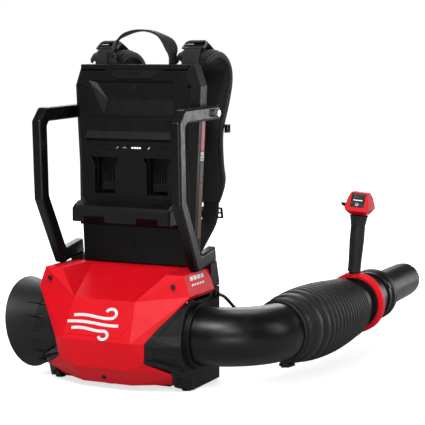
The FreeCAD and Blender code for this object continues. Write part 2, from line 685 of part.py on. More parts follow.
def on_grip(shape):
    """Place a shape built on an upright grip that stands at the origin."""
    lean = FreeCAD.Rotation(Vector(0, 1, 0), GRIP_LEAN)
    placed = shape.copy()
    placed.Placement = FreeCAD.Placement(GRIP_FOOT, lean).multiply(placed.Placement)
    return placed


def ring_liner():
    liner = sleeve((TUBE_X, RING_Y - 15, FAN_Z), (0, 1, 0), TUBE_R + 3, TUBE_R + RUNNING, 30)
    lips = [sleeve((TUBE_X, y, FAN_Z), (0, 1, 0), TUBE_R + 6, TUBE_R + 2, 3.5) for y in (RING_Y - 15, RING_Y + 11.5)]
    return join([liner] + lips)


CLAMP_OUT = 12.0                 # clamp bolt's distance outside the ring


def to_left(shape):
    """Turn a shape built under the ring to the ring's -X side."""
    turned = shape.copy()
    turned.rotate(Vector(*RING), Vector(0, 1, 0), 90)
    return turned


def handle_ring():
    half = RING_W / 2
    inner = TUBE_R + 3 + RUNNING
    profile = [(-half, inner), (-half, RING_R - 5), (-half + 4, RING_R), (half - 4, RING_R), (half, RING_R - 5),
               (half, inner)]
    ring = lathe(profile, RING, "Y")
    seat_z = FAN_Z + TUBE_R + 6.5
    seat = rod((GRIP_FOOT.x, RING_Y, seat_z), (0, 0, 1), 18, GRIP_FOOT.z - seat_z)
    outer = FAN_Z + RING_R
    lugs = box(TUBE_X - 11, TUBE_X + 11, RING_Y - half, RING_Y + half, 2 * FAN_Z - outer - CLAMP_OUT - 7,
               FAN_Z - inner - 4)
    lugs = lugs.cut(box(TUBE_X - 1.5, TUBE_X + 1.5, RING_Y - 20, RING_Y + 20, 0, FAN_Z - 20))
    lugs = to_left(lugs.cut(rod((TUBE_X - 40, RING_Y, FAN_Z - RING_R - CLAMP_OUT), (1, 0, 0), 3 + RUNNING, 80)))
    slit = to_left(box(TUBE_X - 1.5, TUBE_X + 1.5, RING_Y - 20, RING_Y + 20, 0, FAN_Z - 20))
    body = join([ring, seat, lugs]).cut(rod((TUBE_X, RING_Y - 20, FAN_Z), (0, 1, 0), inner, 40)).cut(slit)
    return body.cut(on_grip(rod((0, 0, -9), (0, 0, 1), 11, 40)))


def ring_clamp_knob():
    """Hand knob and its bolt, which squeeze the split ring on its liner."""
    z = FAN_Z - RING_R - CLAMP_OUT
    knob = rod((TUBE_X + 11.5, RING_Y, z), (1, 0, 0), 11, 13)
    for i in range(6):
        angle = math.radians(60 * i)
        groove = rod((TUBE_X + 11, RING_Y + 13 * math.cos(angle), z + 13 * math.sin(angle)), (1, 0, 0), 4, 14)
        knob = knob.cut(groove)
    bolt = rod((TUBE_X - 16, RING_Y, z), (1, 0, 0), 3, 30)
    stop = rod((TUBE_X - 16.5, RING_Y, z), (1, 0, 0), 6, 5)
    return to_left(join([knob, bolt, stop]))


def grip_core():
    core = rod((0, 0, -8.5), (0, 0, 1), 10.8, GRIP_H + 8.5)
    return on_grip(core.cut(rod((0, 0, -9), (0, 0, 1), 4, GRIP_H + 10)))


def grip_overmould():
    """Rubber sleeve: thicker in the middle and where it meets the head."""
    profile = [(4.6, 11), (4.6, 14), (10, 13.4), (30, 13.6), (70, 15.2), (100, 14.8), (GRIP_H - 6, 17.5),
               (GRIP_H, 19), (GRIP_H, 11)]
    sleeve_body = lathe(profile, (0, 0, 0), "Z")
    slot = box(-7, 7, 8, 30, GRIP_H - 46, GRIP_H + 1)
    return on_grip(sleeve_body.cut(slot))


def head_outline(grow):
    """Front view of the control head: a six-sided pod, wider in its lower half."""
    return [(-17 - grow, 0 - grow), (17 + grow, 0 - grow), (26 + grow, 13), (22 + grow, 36),
            (17 + grow, 46 + grow), (-17 - grow, 46 + grow), (-22 - grow, 36), (-26 - grow, 13)]


FACE_AIM = Vector(0, -0.94, 0.34)      # the display looks back at the user and slightly up
FACE_POINT = Vector(0, -15.5, HEAD_Z + 30.5)


def head_solid(grow):
    body = prism([(x, z + HEAD_Z) for x, z in head_outline(grow)], "Y", -27 - grow, 22 + grow)
    body = trim(body, FACE_POINT + FACE_AIM * grow, FACE_AIM)
    body = trim(body, Vector(0, 22 + grow, HEAD_Z + 20), Vector(0, 0.9, 0.44))
    body = trim(body, Vector(0, -19 - grow, HEAD_Z + 5), Vector(0, -0.6, -0.8))
    return trim(body, Vector(0, 19 + grow, HEAD_Z + 2), Vector(0, 0.6, -0.8))


def face_block(x0, x1, u0, u1, depth, rise):
    """Block on the display face: x across, u up the face, from depth under it to rise above it."""
    block = box(x0, x1, u0, u1, -depth, rise)
    up = Vector(0, 0.34, 0.94)
    turn = FreeCAD.Rotation(Vector(1, 0, 0), up, FACE_AIM, "XYZ")
    block.Placement = FreeCAD.Placement(FACE_POINT, turn)
    return block


TRIGGER_PIVOT = (0, 14, HEAD_Z + 6)
LEVER_PIVOT = (-20, -4, HEAD_Z + 15)


def head_shell():
    body = head_solid(0).cut(head_solid(-2.5))
    body = body.cut(rod((0, 0, HEAD_Z - 4), (0, 0, 1), 11.2, 14))
    body = body.cut(face_block(-FACE - 0.3, FACE + 0.3, -FACE - 0.3, FACE + 0.3, 6, 4))
    body = body.cut(box(-7, 7, 6, 40, HEAD_Z - 4, HEAD_Z + 16))
    x, y, z = LEVER_PIVOT
    body = body.cut(box(x - 20, x + 6.5, y - 6, y + 6, z - 8, z + 9))
    return on_grip(max(body.Solids, key=lambda b: b.Volume))


FACE = 14.5                      # half side of the square display


def display_panel():
    panel = face_block(-FACE, FACE, -FACE, FACE, 2.2, 0.4)
    return on_grip(panel.cut(power_button_bore()))


def power_button_bore():
    bore = rod((0, -9.5, -3), (0, 0, 1), 4.05, 6)
    turn = FreeCAD.Rotation(Vector(1, 0, 0), Vector(0, 0.34, 0.94), FACE_AIM, "XYZ")
    bore.Placement = FreeCAD.Placement(FACE_POINT, turn).multiply(bore.Placement)
    return bore


def power_button():
    cap = rod((0, -9.5, -2.6), (0, 0, 1), 4.0, 4.2)
    turn = FreeCAD.Rotation(Vector(1, 0, 0), Vector(0, 0.34, 0.94), FACE_AIM, "XYZ")
    cap.Placement = FreeCAD.Placement(FACE_POINT, turn).multiply(cap.Placement)
    return on_grip(cap)


def throttle_trigger():
    """Curved finger trigger on the forward side, below the head."""
    y, z = TRIGGER_PIVOT[1:]
    outline = [(y - 3, z + 4), (y + 3.5, z + 4), (y + 9, z - 6), (y + 11, z - 20), (y + 7, z - 34),
               (y + 10, z - 42), (y + 6, z - 43), (y + 2.6, z - 35), (y + 5, z - 20), (y + 1, z - 6), (y - 3, z - 3)]
    body = prism(outline, "X", -5.5, 5.5)
    return on_grip(body.cut(rod((-10, y, z), (1, 0, 0), 1.5 + RUNNING, 20)))


def cruise_lever():
    """Thumb lever on the head's left side that holds the throttle."""
    x, y, z = LEVER_PIVOT
    boss = rod((x - 1, y - 5, z), (0, 1, 0), 5.5, 10)
    arm = prism([(x - 2, z - 5), (x - 16, z + 1), (x - 19, z + 6), (x - 10, z + 6), (x - 2, z + 5)],
                "Y", y - 5, y + 5)
    body = join([boss, arm]).cut(rod((x - 1, y - 10, z), (0, 1, 0), 1.5 + RUNNING, 20))
    return on_grip(body)


def head_pins():
    y, z = TRIGGER_PIVOT[1:]
    trigger_pin = rod((-8.5, y, z), (1, 0, 0), 1.5, 17)
    x, y, z = LEVER_PIVOT
    lever_pin = rod((x - 1, y - 7.5, z), (0, 1, 0), 1.5, 15)
    return Part.makeCompound([on_grip(trigger_pin), on_grip(lever_pin)])


def trigger_spring():
    spring = Part.makeHelix(1.2, 4.2, 2.2)
    path = Part.Wire(spring.Edges)
    section = Part.Wire([Part.makeCircle(0.4, Vector(2.2, 0, 0), Vector(0, 1, 0))])
    coil = path.makePipeShell([section], True, True)
    y, z = TRIGGER_PIVOT[1:]
    coil.Placement = FreeCAD.Placement(Vector(0, y - 0.4, z - 20), FreeCAD.Rotation(Vector(1, 0, 0), -90))
    return on_grip(coil)


# ---- cable --------------------------------------------------------------------------------------
CABLE_R = 3.2
CLIP = (231, 312, 116)           # where the clip on the tube holds the cable
CABLE = [(END_X + 2,) + CABLE_START, (END_X + 16, -2, 160), (182, 10, 138), (196, 34, 112), (203, 80, 100),
         (206, 150, 98), (217, 240, 106), (CLIP[0], CLIP[1] - 6, CLIP[2]), (CLIP[0], CLIP[1] + 14, CLIP[2]),
         (236, 346, 124)]


def control_cable():
    return cord(CABLE, CABLE_R)


def cable_grommet():
    gland = sleeve((END_X - 4,) + CABLE_START, (1, 0, 0), 5.9, CABLE_R + 1.0, 9)
    return gland.fuse(sleeve((END_X + 0.3,) + CABLE_START, (1, 0, 0), 8, CABLE_R + 1.0, 4)).removeSplitter()


def cable_clip():
    """Open clip on the blow tube that guides the cable to the handle."""
    x, y, z = CLIP
    strap = sleeve((TUBE_X, y, FAN_Z), (0, 1, 0), TUBE_R + 2.2, TUBE_R + 0.1, 9)
    hook = sleeve(CLIP, (0, 1, 0), 7, 4.6, 9)
    bridge = box(x + 4, TUBE_X - TUBE_R + 6, y, y + 9, z - 4, z + 2).cut(rod((x, y - 5, z), (0, 1, 0), 6, 30))
    bridge = bridge.cut(rod((TUBE_X, y - 5, FAN_Z), (0, 1, 0), TUBE_R + 0.1, 30))
    return join([strap, bridge, hook])


# ---- back plate and battery dock ----------------------------------------------------------------
def plate_half_width(z):
    share = (z - PLATE_LOW_Z) / (PLATE_WIDE_Z - PLATE_LOW_Z)
    return PLATE_LOW_X + share * (PLATE_WIDE_X - PLATE_LOW_X)


def plate_outline(inset):
    low = PLATE_LOW_Z + inset
    right = [(PLATE_LOW_X - inset, low), (PLATE_WIDE_X - inset, PLATE_WIDE_Z),
             (PLATE_TOP_X - 0.6 * inset, PLATE_TOP_Z - inset)]
    return right + [(-x, z) for x, z in right[::-1]]


def plate_form(inset, front_y, rear_y):
    """The plate's outline between two planes, with the chamfer around its front."""
    shoulder_y = front_y + PLATE_EDGE
    wires = []
    for shrink, y in ((inset + PLATE_EDGE, front_y), (inset, shoulder_y)):
        points = [Vector(x, y, z) for x, z in plate_outline(shrink)]
        wires.append(Part.makePolygon(points + points[:1]))
    return Part.makeLoft(wires, True, True).fuse(prism(plate_outline(inset), "Y", shoulder_y, rear_y))


def handle_bolt_holes():
    y, z = HANDLE_BOLT
    return rod((-160, y, z), (1, 0, 0), 4.2, 66).fuse(rod((94, y, z), (1, 0, 0), 4.2, 66))


PLATE_SPLIT_Y = -8.0
PLATE_SCREWS = [(-116, PLATE_Y0 + 8, 550), (0, PLATE_Y0 + 6, 550), (116, PLATE_Y0 + 8, 550)]
DOCK_BACK_X = 87.0               # the back of the dock goes in through a window in the plate


def brow_recess():
    """Shallow recess above the dock; its lower and left sides slope out to the plate's face."""
    lip = PLATE_Y0 - 0.5
    corners = {"top_left": (-98, lip, 562), "low_left": (-64, lip, 496), "low_right": (84, lip, 496),
               "top_right": (84, lip, 562), "floor_top_left": (-84, PLATE_Y0 + 5, 562),
               "floor_left": (-58, PLATE_Y0 + 5, 526), "floor_right": (84, PLATE_Y0 + 5, 526),
               "floor_top_right": (84, PLATE_Y0 + 5, 562)}
    facets = ["top_left low_left low_right top_right", "floor_top_left floor_left floor_right floor_top_right",
              "top_left low_left floor_left floor_top_left", "low_left low_right floor_right floor_left",
              "low_right top_right floor_top_right floor_right", "top_right top_left floor_top_left floor_top_right"]
    return polyhedron(corners, facets)


def back_plate():
    body = plate_form(0, PLATE_Y0, PLATE_SPLIT_Y)
    cavity = plate_form(4, PLATE_Y0 + WALL, PLATE_SPLIT_Y + 1)
    body = body.cut(cavity.cut(box(-200, 200, PLATE_Y0, 0, 488, 600)))
    body = body.cut(box(-200, 200, PLATE_Y0 - 1, STEM_Y, 200, 290))
    floor = prism(plate_outline(1), "Y", STEM_Y, STEM_Y + WALL).common(box(-200, 200, -60, 0, 200, 294))
    body = body.fuse(floor).cut(box(-DOCK_BACK_X, DOCK_BACK_X, PLATE_Y0 - 1, -26, BAY_Z0 - 4, BAY_Z1 + 5))
    ledge = prism([(-36, 566), (36, 566), (62, 583), (-62, 583)], "Y", PLATE_Y0 - 3, PLATE_Y0 + 8)
    ledge = trim(ledge, (0, PLATE_Y0 - 3, 566), (0, -0.97, 0.17))
    band = box(-112, 112, PLATE_Y0 - 1.5, PLATE_Y0 + 13, 583, PLATE_TOP_Z - 1)
    label = box(-14, 14, PLATE_Y0 - 12, PLATE_Y0 - 1, 571, 580)
    stem = box(-13, 13, STEM_Y - 1, STEM_Y + 1.2, 222, 288)
    body = join([body.cut(brow_recess()).cut(stem), ledge, band]).cut(label)
    for x, y, z in PLATE_SCREWS:
        body = body.cut(screw_hole((x, y, z), (0, 1, 0), 30))
    for x in (-9, 9):
        body = body.cut(rod((x, STEM_Y - 1, 252), (0, 1, 0), 1.6, 8))
    body = body.cut(handle_bolt_holes())
    return join([body] + list(loop_lugs()))


def back_plate_rear():
    body = prism(plate_outline(1.5), "Y", PLATE_SPLIT_Y + 0.3, PLATE_Y1)
    body = body.makeFillet(3.0, [e for e in body.Edges if e.BoundBox.YMin > PLATE_Y1 - 1])
    for x, y, z in PLATE_SCREWS:
        body = body.cut(rod((x, y, z), (0, 1, 0), SCREW_R + 0.1, 40))
    vents = [box(-60, 60, PLATE_SPLIT_Y - 1, PLATE_Y1 + 1, z, z + 5) for z in (300, 316, 332)]
    for vent in vents:
        body = body.cut(vent)
    return body.cut(handle_bolt_holes())


def dock_section(grow=0.0):
    """Side view of the dock: brow with a thin groove below it, upright front, sill that leads to the shelf."""
    return [(PLATE_Y0 - 0.3, 494), (-50, 492), (-52, 467), (DOCK_Y - 1, 454), (DOCK_Y + 4, 452), (DOCK_Y + 4, 449),
            (DOCK_Y, 448), (DOCK_Y - grow, 345), (-76 - grow, 334), (-76 - grow, 322 - grow),
            (PLATE_Y0 - 0.3, 288 - grow)]


def bay_cavity(side):
    """Room for a battery's rail foot, with an undercut groove on each side and a lead-in at the top."""
    x = side * BAY_X
    flare = [(x - 30, BAY_Z1), (x + 30, BAY_Z1), (x + BAY_HALF, BAY_Z1 - 14), (x - BAY_HALF, BAY_Z1 - 14)]
    mouth = box(x - BAY_HALF, x + BAY_HALF, -80, BAY_FLOOR_Y, BAY_Z0, BAY_Z1)
    grooves = box(x - BAY_HALF - 5, x + BAY_HALF + 5, DOCK_Y + 6, DOCK_Y + 14, BAY_Z0, BAY_Z1)
    return mouth.fuse([grooves, prism(flare, "Y", DOCK_Y - 1, DOCK_Y + 14)])


def battery_dock():
    back = box(0.3 - DOCK_BACK_X, DOCK_BACK_X - 0.3, PLATE_Y0 - 2, -26.3, BAY_Z0 - 3.7, BAY_Z1 + 4.7)
    body = prism(dock_section(), "X", -DOCK_X, DOCK_X).fuse(back)
    for side in (1, -1):
        body = trim(body, (side * (DOCK_X - 12), DOCK_Y, 0), (side * 0.707, -0.707, 0))
        shoulder = prism([(98, 500), (98, 451), (112, 439), (130, 439), (130, 500)], "Y", -90, 0)
        body = body.cut(shoulder if side > 0 else mirror_x(shoulder))
        body = body.cut(bay_cavity(side))
    hollow = prism([(PLATE_Y0 + 1, 462), (-48.5, 462), (-52.5, 454), (-52.5, 446), (-56, 444), (-56, 424),
                    (PLATE_Y0 + 1, 424)], "X", -92, 92)
    band = box(-78, 78, DOCK_Y - 1, DOCK_Y + 1.2, LENS_Z0, LENS_Z1)
    return body.cut(hollow).cut(band)


def battery_terminals():
    blocks = []
    for side in (1, -1):
        x = side * BAY_X
        y = BAY_FLOOR_Y - 0.2
        base = box(x - 14, x + 14, y - 10, y, 360, 386).fuse(box(x - 17, x + 17, y - 13, y, 356, 369))
        for i in range(4):
            base = base.cut(box(x - 11 + 6 * i, x - 8 + 6 * i, y - 14, y - 3, 371, 387))
        blades = [box(x - 10 + 6 * i, x - 9 + 6 * i, y - 8, y - 2.9, 370.9, 384) for i in range(4)]
        blocks.append(join([base] + blades))
    return Part.makeCompound(blocks)


def battery_shelf():
    """Guard under the batteries, notched below each bay."""
    section = [(-70, 334), (-84, 338), (SHELF_Y, SHELF_Z + 2), (SHELF_Y - 2, SHELF_Z - 4), (SHELF_Y, 300),
               (SHELF_Y + 5, 300), (SHELF_Y + 5, 318), (-70, 322)]
    pieces = [prism(section, "X", -99, 99)]
    for side in (1, -1):
        x = side * BAY_X
        notch = prism([(x - 22, 290), (x + 22, 290), (x + 22, 311), (x - 22, 311)], "Y", -120, -92)
        pieces[0] = pieces[0].cut(notch)
        pieces.append(prism([(-100, 326), (-70, 330), (-60, 318), (-60, 300), (-100, 300)], "X", side * 99, side * 103))
    keepout = prism(dock_section(0.3), "X", -DOCK_X, DOCK_X)
    return max(join(pieces).cut(keepout).Solids, key=lambda b: b.Volume)


def indicator_lens():
    return box(-77.7, 77.7, DOCK_Y + 0.1, DOCK_Y + 1.1, LENS_Z0 + 0.3, LENS_Z1 - 0.3)


def control_board():
    board = box(-70, 70, -28, -26, 250, 330)
    parts = [rod((x, -26, 290), (0, 1, 0), 6, 9) for x in (-40, -20, 20, 40)]
    return join([board, box(-30, 30, -26.5, -14, 258, 278)] + parts)


# ---- guard handles ------------------------------------------------------------------------------
def guard_handle(side):
    """Bent bar that shields the batteries: top arm, upright, slanted leg and foot arm."""
    path = [(10, 504), (-134, 500), (-149, 484), (-144, 347), (-78, 230), (-7, 242)]
    body = prism(strip_outline(path, BAR_H / 2), "X", BAR_X - BAR_T / 2, BAR_X + BAR_T / 2)
    corners = [e for e in parallel_edges(body, (1, 0, 0)) if -150 < e.BoundBox.YMin < -20 or e.BoundBox.YMin < -150]
    body = body.makeFillet(8.0, corners)
    rims = [e for e in body.Edges if abs(e.BoundBox.XMax - e.BoundBox.XMin) < 0.01]
    body = body.makeFillet(5.0, rims)
    body = body.cut(handle_bolt_holes())
    return body if side > 0 else mirror_x(body)


def handle_bolts():
    bolts = []
    for side in (1, -1):
        start = side * (BAR_X + BAR_T / 2 + 0.2)
        head = hex_prism((start,) + HANDLE_BOLT, (side, 0, 0), 13, 9)
        shank = rod((start + side,) + HANDLE_BOLT, (-side, 0, 0), 4.0, 56)
        bolts.append(head.fuse(shank).removeSplitter())
    return Part.makeCompound(bolts)


# ---- fasteners of the mouldings -----------------------------------------------------------------
def cover_screws():
    places = cover_screws_places()
    point, aim = FOOT_SCREW
    places += [(point, aim), ((-point[0], point[1], point[2]), (-aim[0], aim[1], aim[2]))]
    return Part.makeCompound([screw(p, a, 8) for p, a in places])


def plate_screws():
    return Part.makeCompound([screw(p, (0, 1, 0), 28) for p in PLATE_SCREWS])


# ---- harness ------------------------------------------------------------------------------------
def ribbon(path, thickness, x0, x1):
    """Band of constant thickness whose side view is the given path of (y, z) points."""
    curve = Part.BSplineCurve()
    curve.interpolate([Vector(x0, y, z) for y, z in path])
    edge = curve.toShape()
    count = 24
    left, right = [], []
    for i in range(count + 1):
        t = edge.FirstParameter + (edge.LastParameter - edge.FirstParameter) * i / count
        p, d = edge.valueAt(t), edge.tangentAt(t)
        off = Vector(0, -d.z, d.y).normalize() * (thickness / 2)
        left.append(p + off)
        right.append(p - off)
    sides = []
    for points in (left, right):
        side = Part.BSplineCurve()
        side.interpolate(points)
        sides.append(side.toShape())
    ends = [Part.makeLine(left[0], right[0]), Part.makeLine(left[-1], right[-1])]
    wire = Part.Wire(Part.__sortEdges__(sides + ends))
    return Part.Face(wire).extrude(Vector(x1 - x0, 0, 0))


PAD_PATH = [(14, 598), (38, 609), (72, 608), (102, 591), (111, 562), (97, 516), (75, 458), (72, 405),
            (87, 356), (97, 322)]
LIFTER_PATH = [(2.2, 566), (2.2, 586), (5.6, 605), (14.5, 619)]
LOWER_PATH = [(94, 297), (84, 284), (54, 262), (24, 242), (4, 236)]


def shoulder_pad(side):
    low, high = sorted((side * (STRAP_X - PAD_W / 2), side * (STRAP_X + PAD_W / 2)))
    return ribbon(PAD_PATH, 17, low, high)


def strap_pair(path, thickness):
    return both_sides(ribbon(path, thickness, STRAP_X - WEB_W / 2, STRAP_X + WEB_W / 2))


def ladder_buckle(y, z, pitch):
    """Three-bar slider buckle, seen flat; pitch turns it about X."""
    half = WEB_W / 2
    frame = box(-half - 4, half + 4, -11, 11, -1.6, 1.6)
    for low, high in ((-8, -1.5), (1.5, 8)):
        frame = frame.cut(box(-half, half, low, high, -3, 3))
    frame.rotate(Vector(0, 0, 0), Vector(1, 0, 0), pitch)
    frame.translate(Vector(STRAP_X, y, z))
    return frame


def upper_buckles():
    return both_sides(ladder_buckle(26, 627, 32))


def lower_buckles():
    return both_sides(ladder_buckle(101, 305, -75))


def sternum_clips():
    edge = STRAP_X + PAD_W / 2
    clip = box(edge + 0.5, edge + 7, 74, 88, 462, 478)
    clip = clip.cut(box(edge + 2, edge + 8, 77, 85, 465, 475))
    return both_sides(clip)


LOOP_PIVOT = (-12.0, PLATE_TOP_Z + 15.0)
LOOP_X = 66.0


def loop_lugs():
    """Pair of ears on the plate's top edge, each with the pin that a leg of the carry loop turns on."""
    y, z = LOOP_PIVOT
    ears = []
    for side in (1, -1):
        low, high = sorted((side * (LOOP_X + 0.6), side * (LOOP_X + 5)))
        ears.append(box(low, high, y - 7, PLATE_SPLIT_Y, PLATE_TOP_Z - 2, z + 6))
        ears.append(rod((side * (LOOP_X + 2), y, z), (-side, 0, 0), 2.5, 10))
    return join(ears[:2]), join(ears[2:])


def carry_loop():
    """Stiffened webbing loop on top of the plate; each leg turns on a pin."""
    outline = []
    for r_x, r_z in ((LOOP_X, 60), (LOOP_X - 5, 55)):
        arc = [(r_x * math.cos(math.radians(a)), PLATE_TOP_Z + 3 + r_z * math.sin(math.radians(a)))
               for a in range(0, 181, 15)]
        outline += arc if not outline else arc[::-1]
    y, z = LOOP_PIVOT
    half = 14.0
    loop = prism(outline, "Y", y - half, y + half)
    ends = box(-100, 100, y - half - 1, y + half + 1, PLATE_TOP_Z, z)
    loop = loop.cut(ends.cut(rod((-100, y, z), (1, 0, 0), half, 200)))
    return loop.cut(rod((-100, y, z), (1, 0, 0), 2.5 + RUNNING, 200))


def back_pad():
    pad = box(-58, 58, PLATE_Y1 + 2, PLATE_Y1 + 20, 300, 540)
    return pad.makeFillet(7.0, pad.Edges)


# ---- write every part ---------------------------------------------------------------------------
cover = cover_solid()
outlet_end = outlet_end_housing(cover)
intake_end = intake_end_housing(cover)

save("fan_cover", fan_cover(cover))
save("outlet_end_housing", outlet_end)
save("intake_end_housing", intake_end)
save("base_chassis", base_chassis(cover, outlet_end, intake_end))
save("foot_pads", foot_pads())
save("fan_duct", fan_duct())
save("stator_hub", stator_hub())
save("motor_stator", motor_stator())
save("motor_rotor", motor_rotor())
save("motor_shaft", motor_shaft())
save("motor_bearings", motor_bearings())
save("fan_impeller", fan_impeller())
save("fan_nut", fan_nut())
save("intake_bell", intake_bell(cover))
save("intake_grille", intake_grille())
save("outlet_collar", outlet_collar())
save("elbow_tube", elbow_tube())
save("bellows", bellows())
save("rear_clamp_band", clamp_band(BELLOWS_START + 5, ELBOW_R + 3.6, -8))
save("front_clamp_band", clamp_band(BELLOWS_LENGTH - 16, TUBE_R + 3.6, 100))
save("blow_tube", blow_tube())
save("nozzle_lock_ring", nozzle_lock_ring())
save("nozzle", nozzle())
save("ring_liner", ring_liner())
save("handle_ring", handle_ring())
save("ring_clamp_knob", ring_clamp_knob())
save("grip_core", grip_core())
save("grip_overmould", grip_overmould())
save("head_shell", head_shell())
save("display_panel", display_panel())
save("power_button", power_button())
save("throttle_trigger", throttle_trigger())
save("cruise_lever", cruise_lever())
save("head_pins", head_pins())
save("trigger_spring", trigger_spring())
save("control_cable", control_cable())
save("cable_grommet", cable_grommet())
save("cable_clip", cable_clip())
save("back_plate", back_plate())
save("back_plate_rear", back_plate_rear())
save("battery_dock", battery_dock())
save("battery_terminals", battery_terminals())
save("battery_shelf", battery_shelf())
save("indicator_lens", indicator_lens())
save("control_board", control_board())
save("left_handle", guard_handle(-1))
save("right_handle", guard_handle(1))
save("handle_bolts", handle_bolts())
save("cover_screws", cover_screws())
save("plate_screws", plate_screws())
save("carry_loop", carry_loop())
save("left_shoulder_pad", shoulder_pad(-1))
save("right_shoulder_pad", shoulder_pad(1))
save("lifter_webbing", strap_pair(LIFTER_PATH, 2.5))
save("upper_buckles", upper_buckles())
save("lower_webbing", strap_pair(LOWER_PATH, 2.5))
save("lower_buckles", lower_buckles())
save("sternum_clips", sternum_clips())
save("back_pad", back_pad())
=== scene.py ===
import json
import math

import bpy
import bmesh
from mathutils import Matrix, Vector


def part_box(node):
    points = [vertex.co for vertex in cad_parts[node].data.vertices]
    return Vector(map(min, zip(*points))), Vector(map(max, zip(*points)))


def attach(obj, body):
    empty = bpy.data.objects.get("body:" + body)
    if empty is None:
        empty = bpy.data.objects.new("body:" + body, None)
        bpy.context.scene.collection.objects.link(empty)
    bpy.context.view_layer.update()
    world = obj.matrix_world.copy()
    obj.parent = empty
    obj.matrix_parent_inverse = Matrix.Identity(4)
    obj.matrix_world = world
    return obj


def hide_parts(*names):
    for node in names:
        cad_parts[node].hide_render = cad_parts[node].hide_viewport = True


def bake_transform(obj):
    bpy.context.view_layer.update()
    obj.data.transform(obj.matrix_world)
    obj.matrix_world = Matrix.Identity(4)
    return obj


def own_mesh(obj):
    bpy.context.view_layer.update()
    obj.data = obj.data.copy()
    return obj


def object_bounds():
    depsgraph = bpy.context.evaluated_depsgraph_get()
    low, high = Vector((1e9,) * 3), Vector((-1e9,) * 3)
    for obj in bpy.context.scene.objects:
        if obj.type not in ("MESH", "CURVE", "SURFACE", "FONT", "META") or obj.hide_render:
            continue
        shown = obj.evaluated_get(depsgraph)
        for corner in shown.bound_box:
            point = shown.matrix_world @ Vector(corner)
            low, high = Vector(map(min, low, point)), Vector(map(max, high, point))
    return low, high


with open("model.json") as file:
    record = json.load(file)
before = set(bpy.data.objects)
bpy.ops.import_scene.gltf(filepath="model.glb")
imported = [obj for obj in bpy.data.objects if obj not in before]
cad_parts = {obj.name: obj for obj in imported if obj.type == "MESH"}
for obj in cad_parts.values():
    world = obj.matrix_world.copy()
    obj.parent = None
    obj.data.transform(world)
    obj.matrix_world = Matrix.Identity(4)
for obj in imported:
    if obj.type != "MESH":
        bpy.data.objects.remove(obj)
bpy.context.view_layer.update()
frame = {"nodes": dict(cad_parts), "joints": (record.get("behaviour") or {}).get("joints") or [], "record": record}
NODES = frame["nodes"]

# ---- node graphs for materials ------------------------------------------------------------------


class Graph:
    """A material's node tree with short calls to add and join nodes."""

    def __init__(self, name):
        self.material = bpy.data.materials.new(name)
        self.material.use_nodes = True
        self.tree = self.material.node_tree
        self.tree.nodes.clear()

    def add(self, kind, settings=None, **inputs):
        node = self.tree.nodes.new(kind)
        for key, value in (settings or {}).items():
            setattr(node, key, value)
        for key, value in inputs.items():
            numbered = key[0] == "i" and key[1:].isdigit()
            self.put(node.inputs[int(key[1:]) if numbered else key.replace("_", " ")], value)
        return node

    def put(self, socket, value):
        if isinstance(value, bpy.types.NodeSocket):
            self.tree.links.new(value, socket)
        else:
            socket.default_value = value

    def maths(self, operation, first, second=0.0, third=0.0):
        return self.add("ShaderNodeMath", {"operation": operation}, i0=first, i1=second, i2=third).outputs[0]

    def noise(self, where, scale, detail=3.0, roughness=0.5):
        node = self.add("ShaderNodeTexNoise", Vector=where, Scale=scale, Detail=detail, Roughness=roughness)
        return node.outputs["Fac"]

    def ramp(self, value, low, high, out_low=0.0, out_high=1.0):
        node = self.add("ShaderNodeMapRange", {"clamp": True}, i0=value, i1=low, i2=high, i3=out_low,
                        i4=out_high)
        return node.outputs[0]

    def mix(self, share, first, second):
        node = self.add("ShaderNodeMix", {"data_type": "RGBA"})
        self.put(node.inputs[0], share)
        self.put(node.inputs[6], first)
        self.put(node.inputs[7], second)
        return node.outputs[2]

    def bump(self, height, strength, distance, normal=None):
        node = self.add("ShaderNodeBump", Height=height, Strength=strength, Distance=distance)
        if normal is not None:
            self.put(node.inputs["Normal"], normal)
        return node.outputs[0]

    def finish(self, **inputs):
        shader = self.add("ShaderNodeBsdfPrincipled")
        for key, value in inputs.items():
            self.put(shader.inputs[key.replace("_", " ")], value)
        out = self.add("ShaderNodeOutputMaterial")
        self.tree.links.new(shader.outputs[0], out.inputs[0])
        return self.material


def rgb(r, g, b):
    return (r, g, b, 1.0)


def place(graph):
    return graph.add("ShaderNodeTexCoord").outputs["Object"]


def edge_mask(graph, radius):
    """1 along convex and concave edges, 0 on flats, with the rounded normal that goes with it."""
    rounded = graph.add("ShaderNodeBevel", {"samples": 4}, Radius=radius).outputs[0]
    true_normal = graph.add("ShaderNodeNewGeometry").outputs["Normal"]
    facing = graph.add("ShaderNodeVectorMath", {"operation": "DOT_PRODUCT"}, i0=rounded, i1=true_normal)
    return graph.ramp(facing.outputs["Value"], 0.999, 0.86), rounded


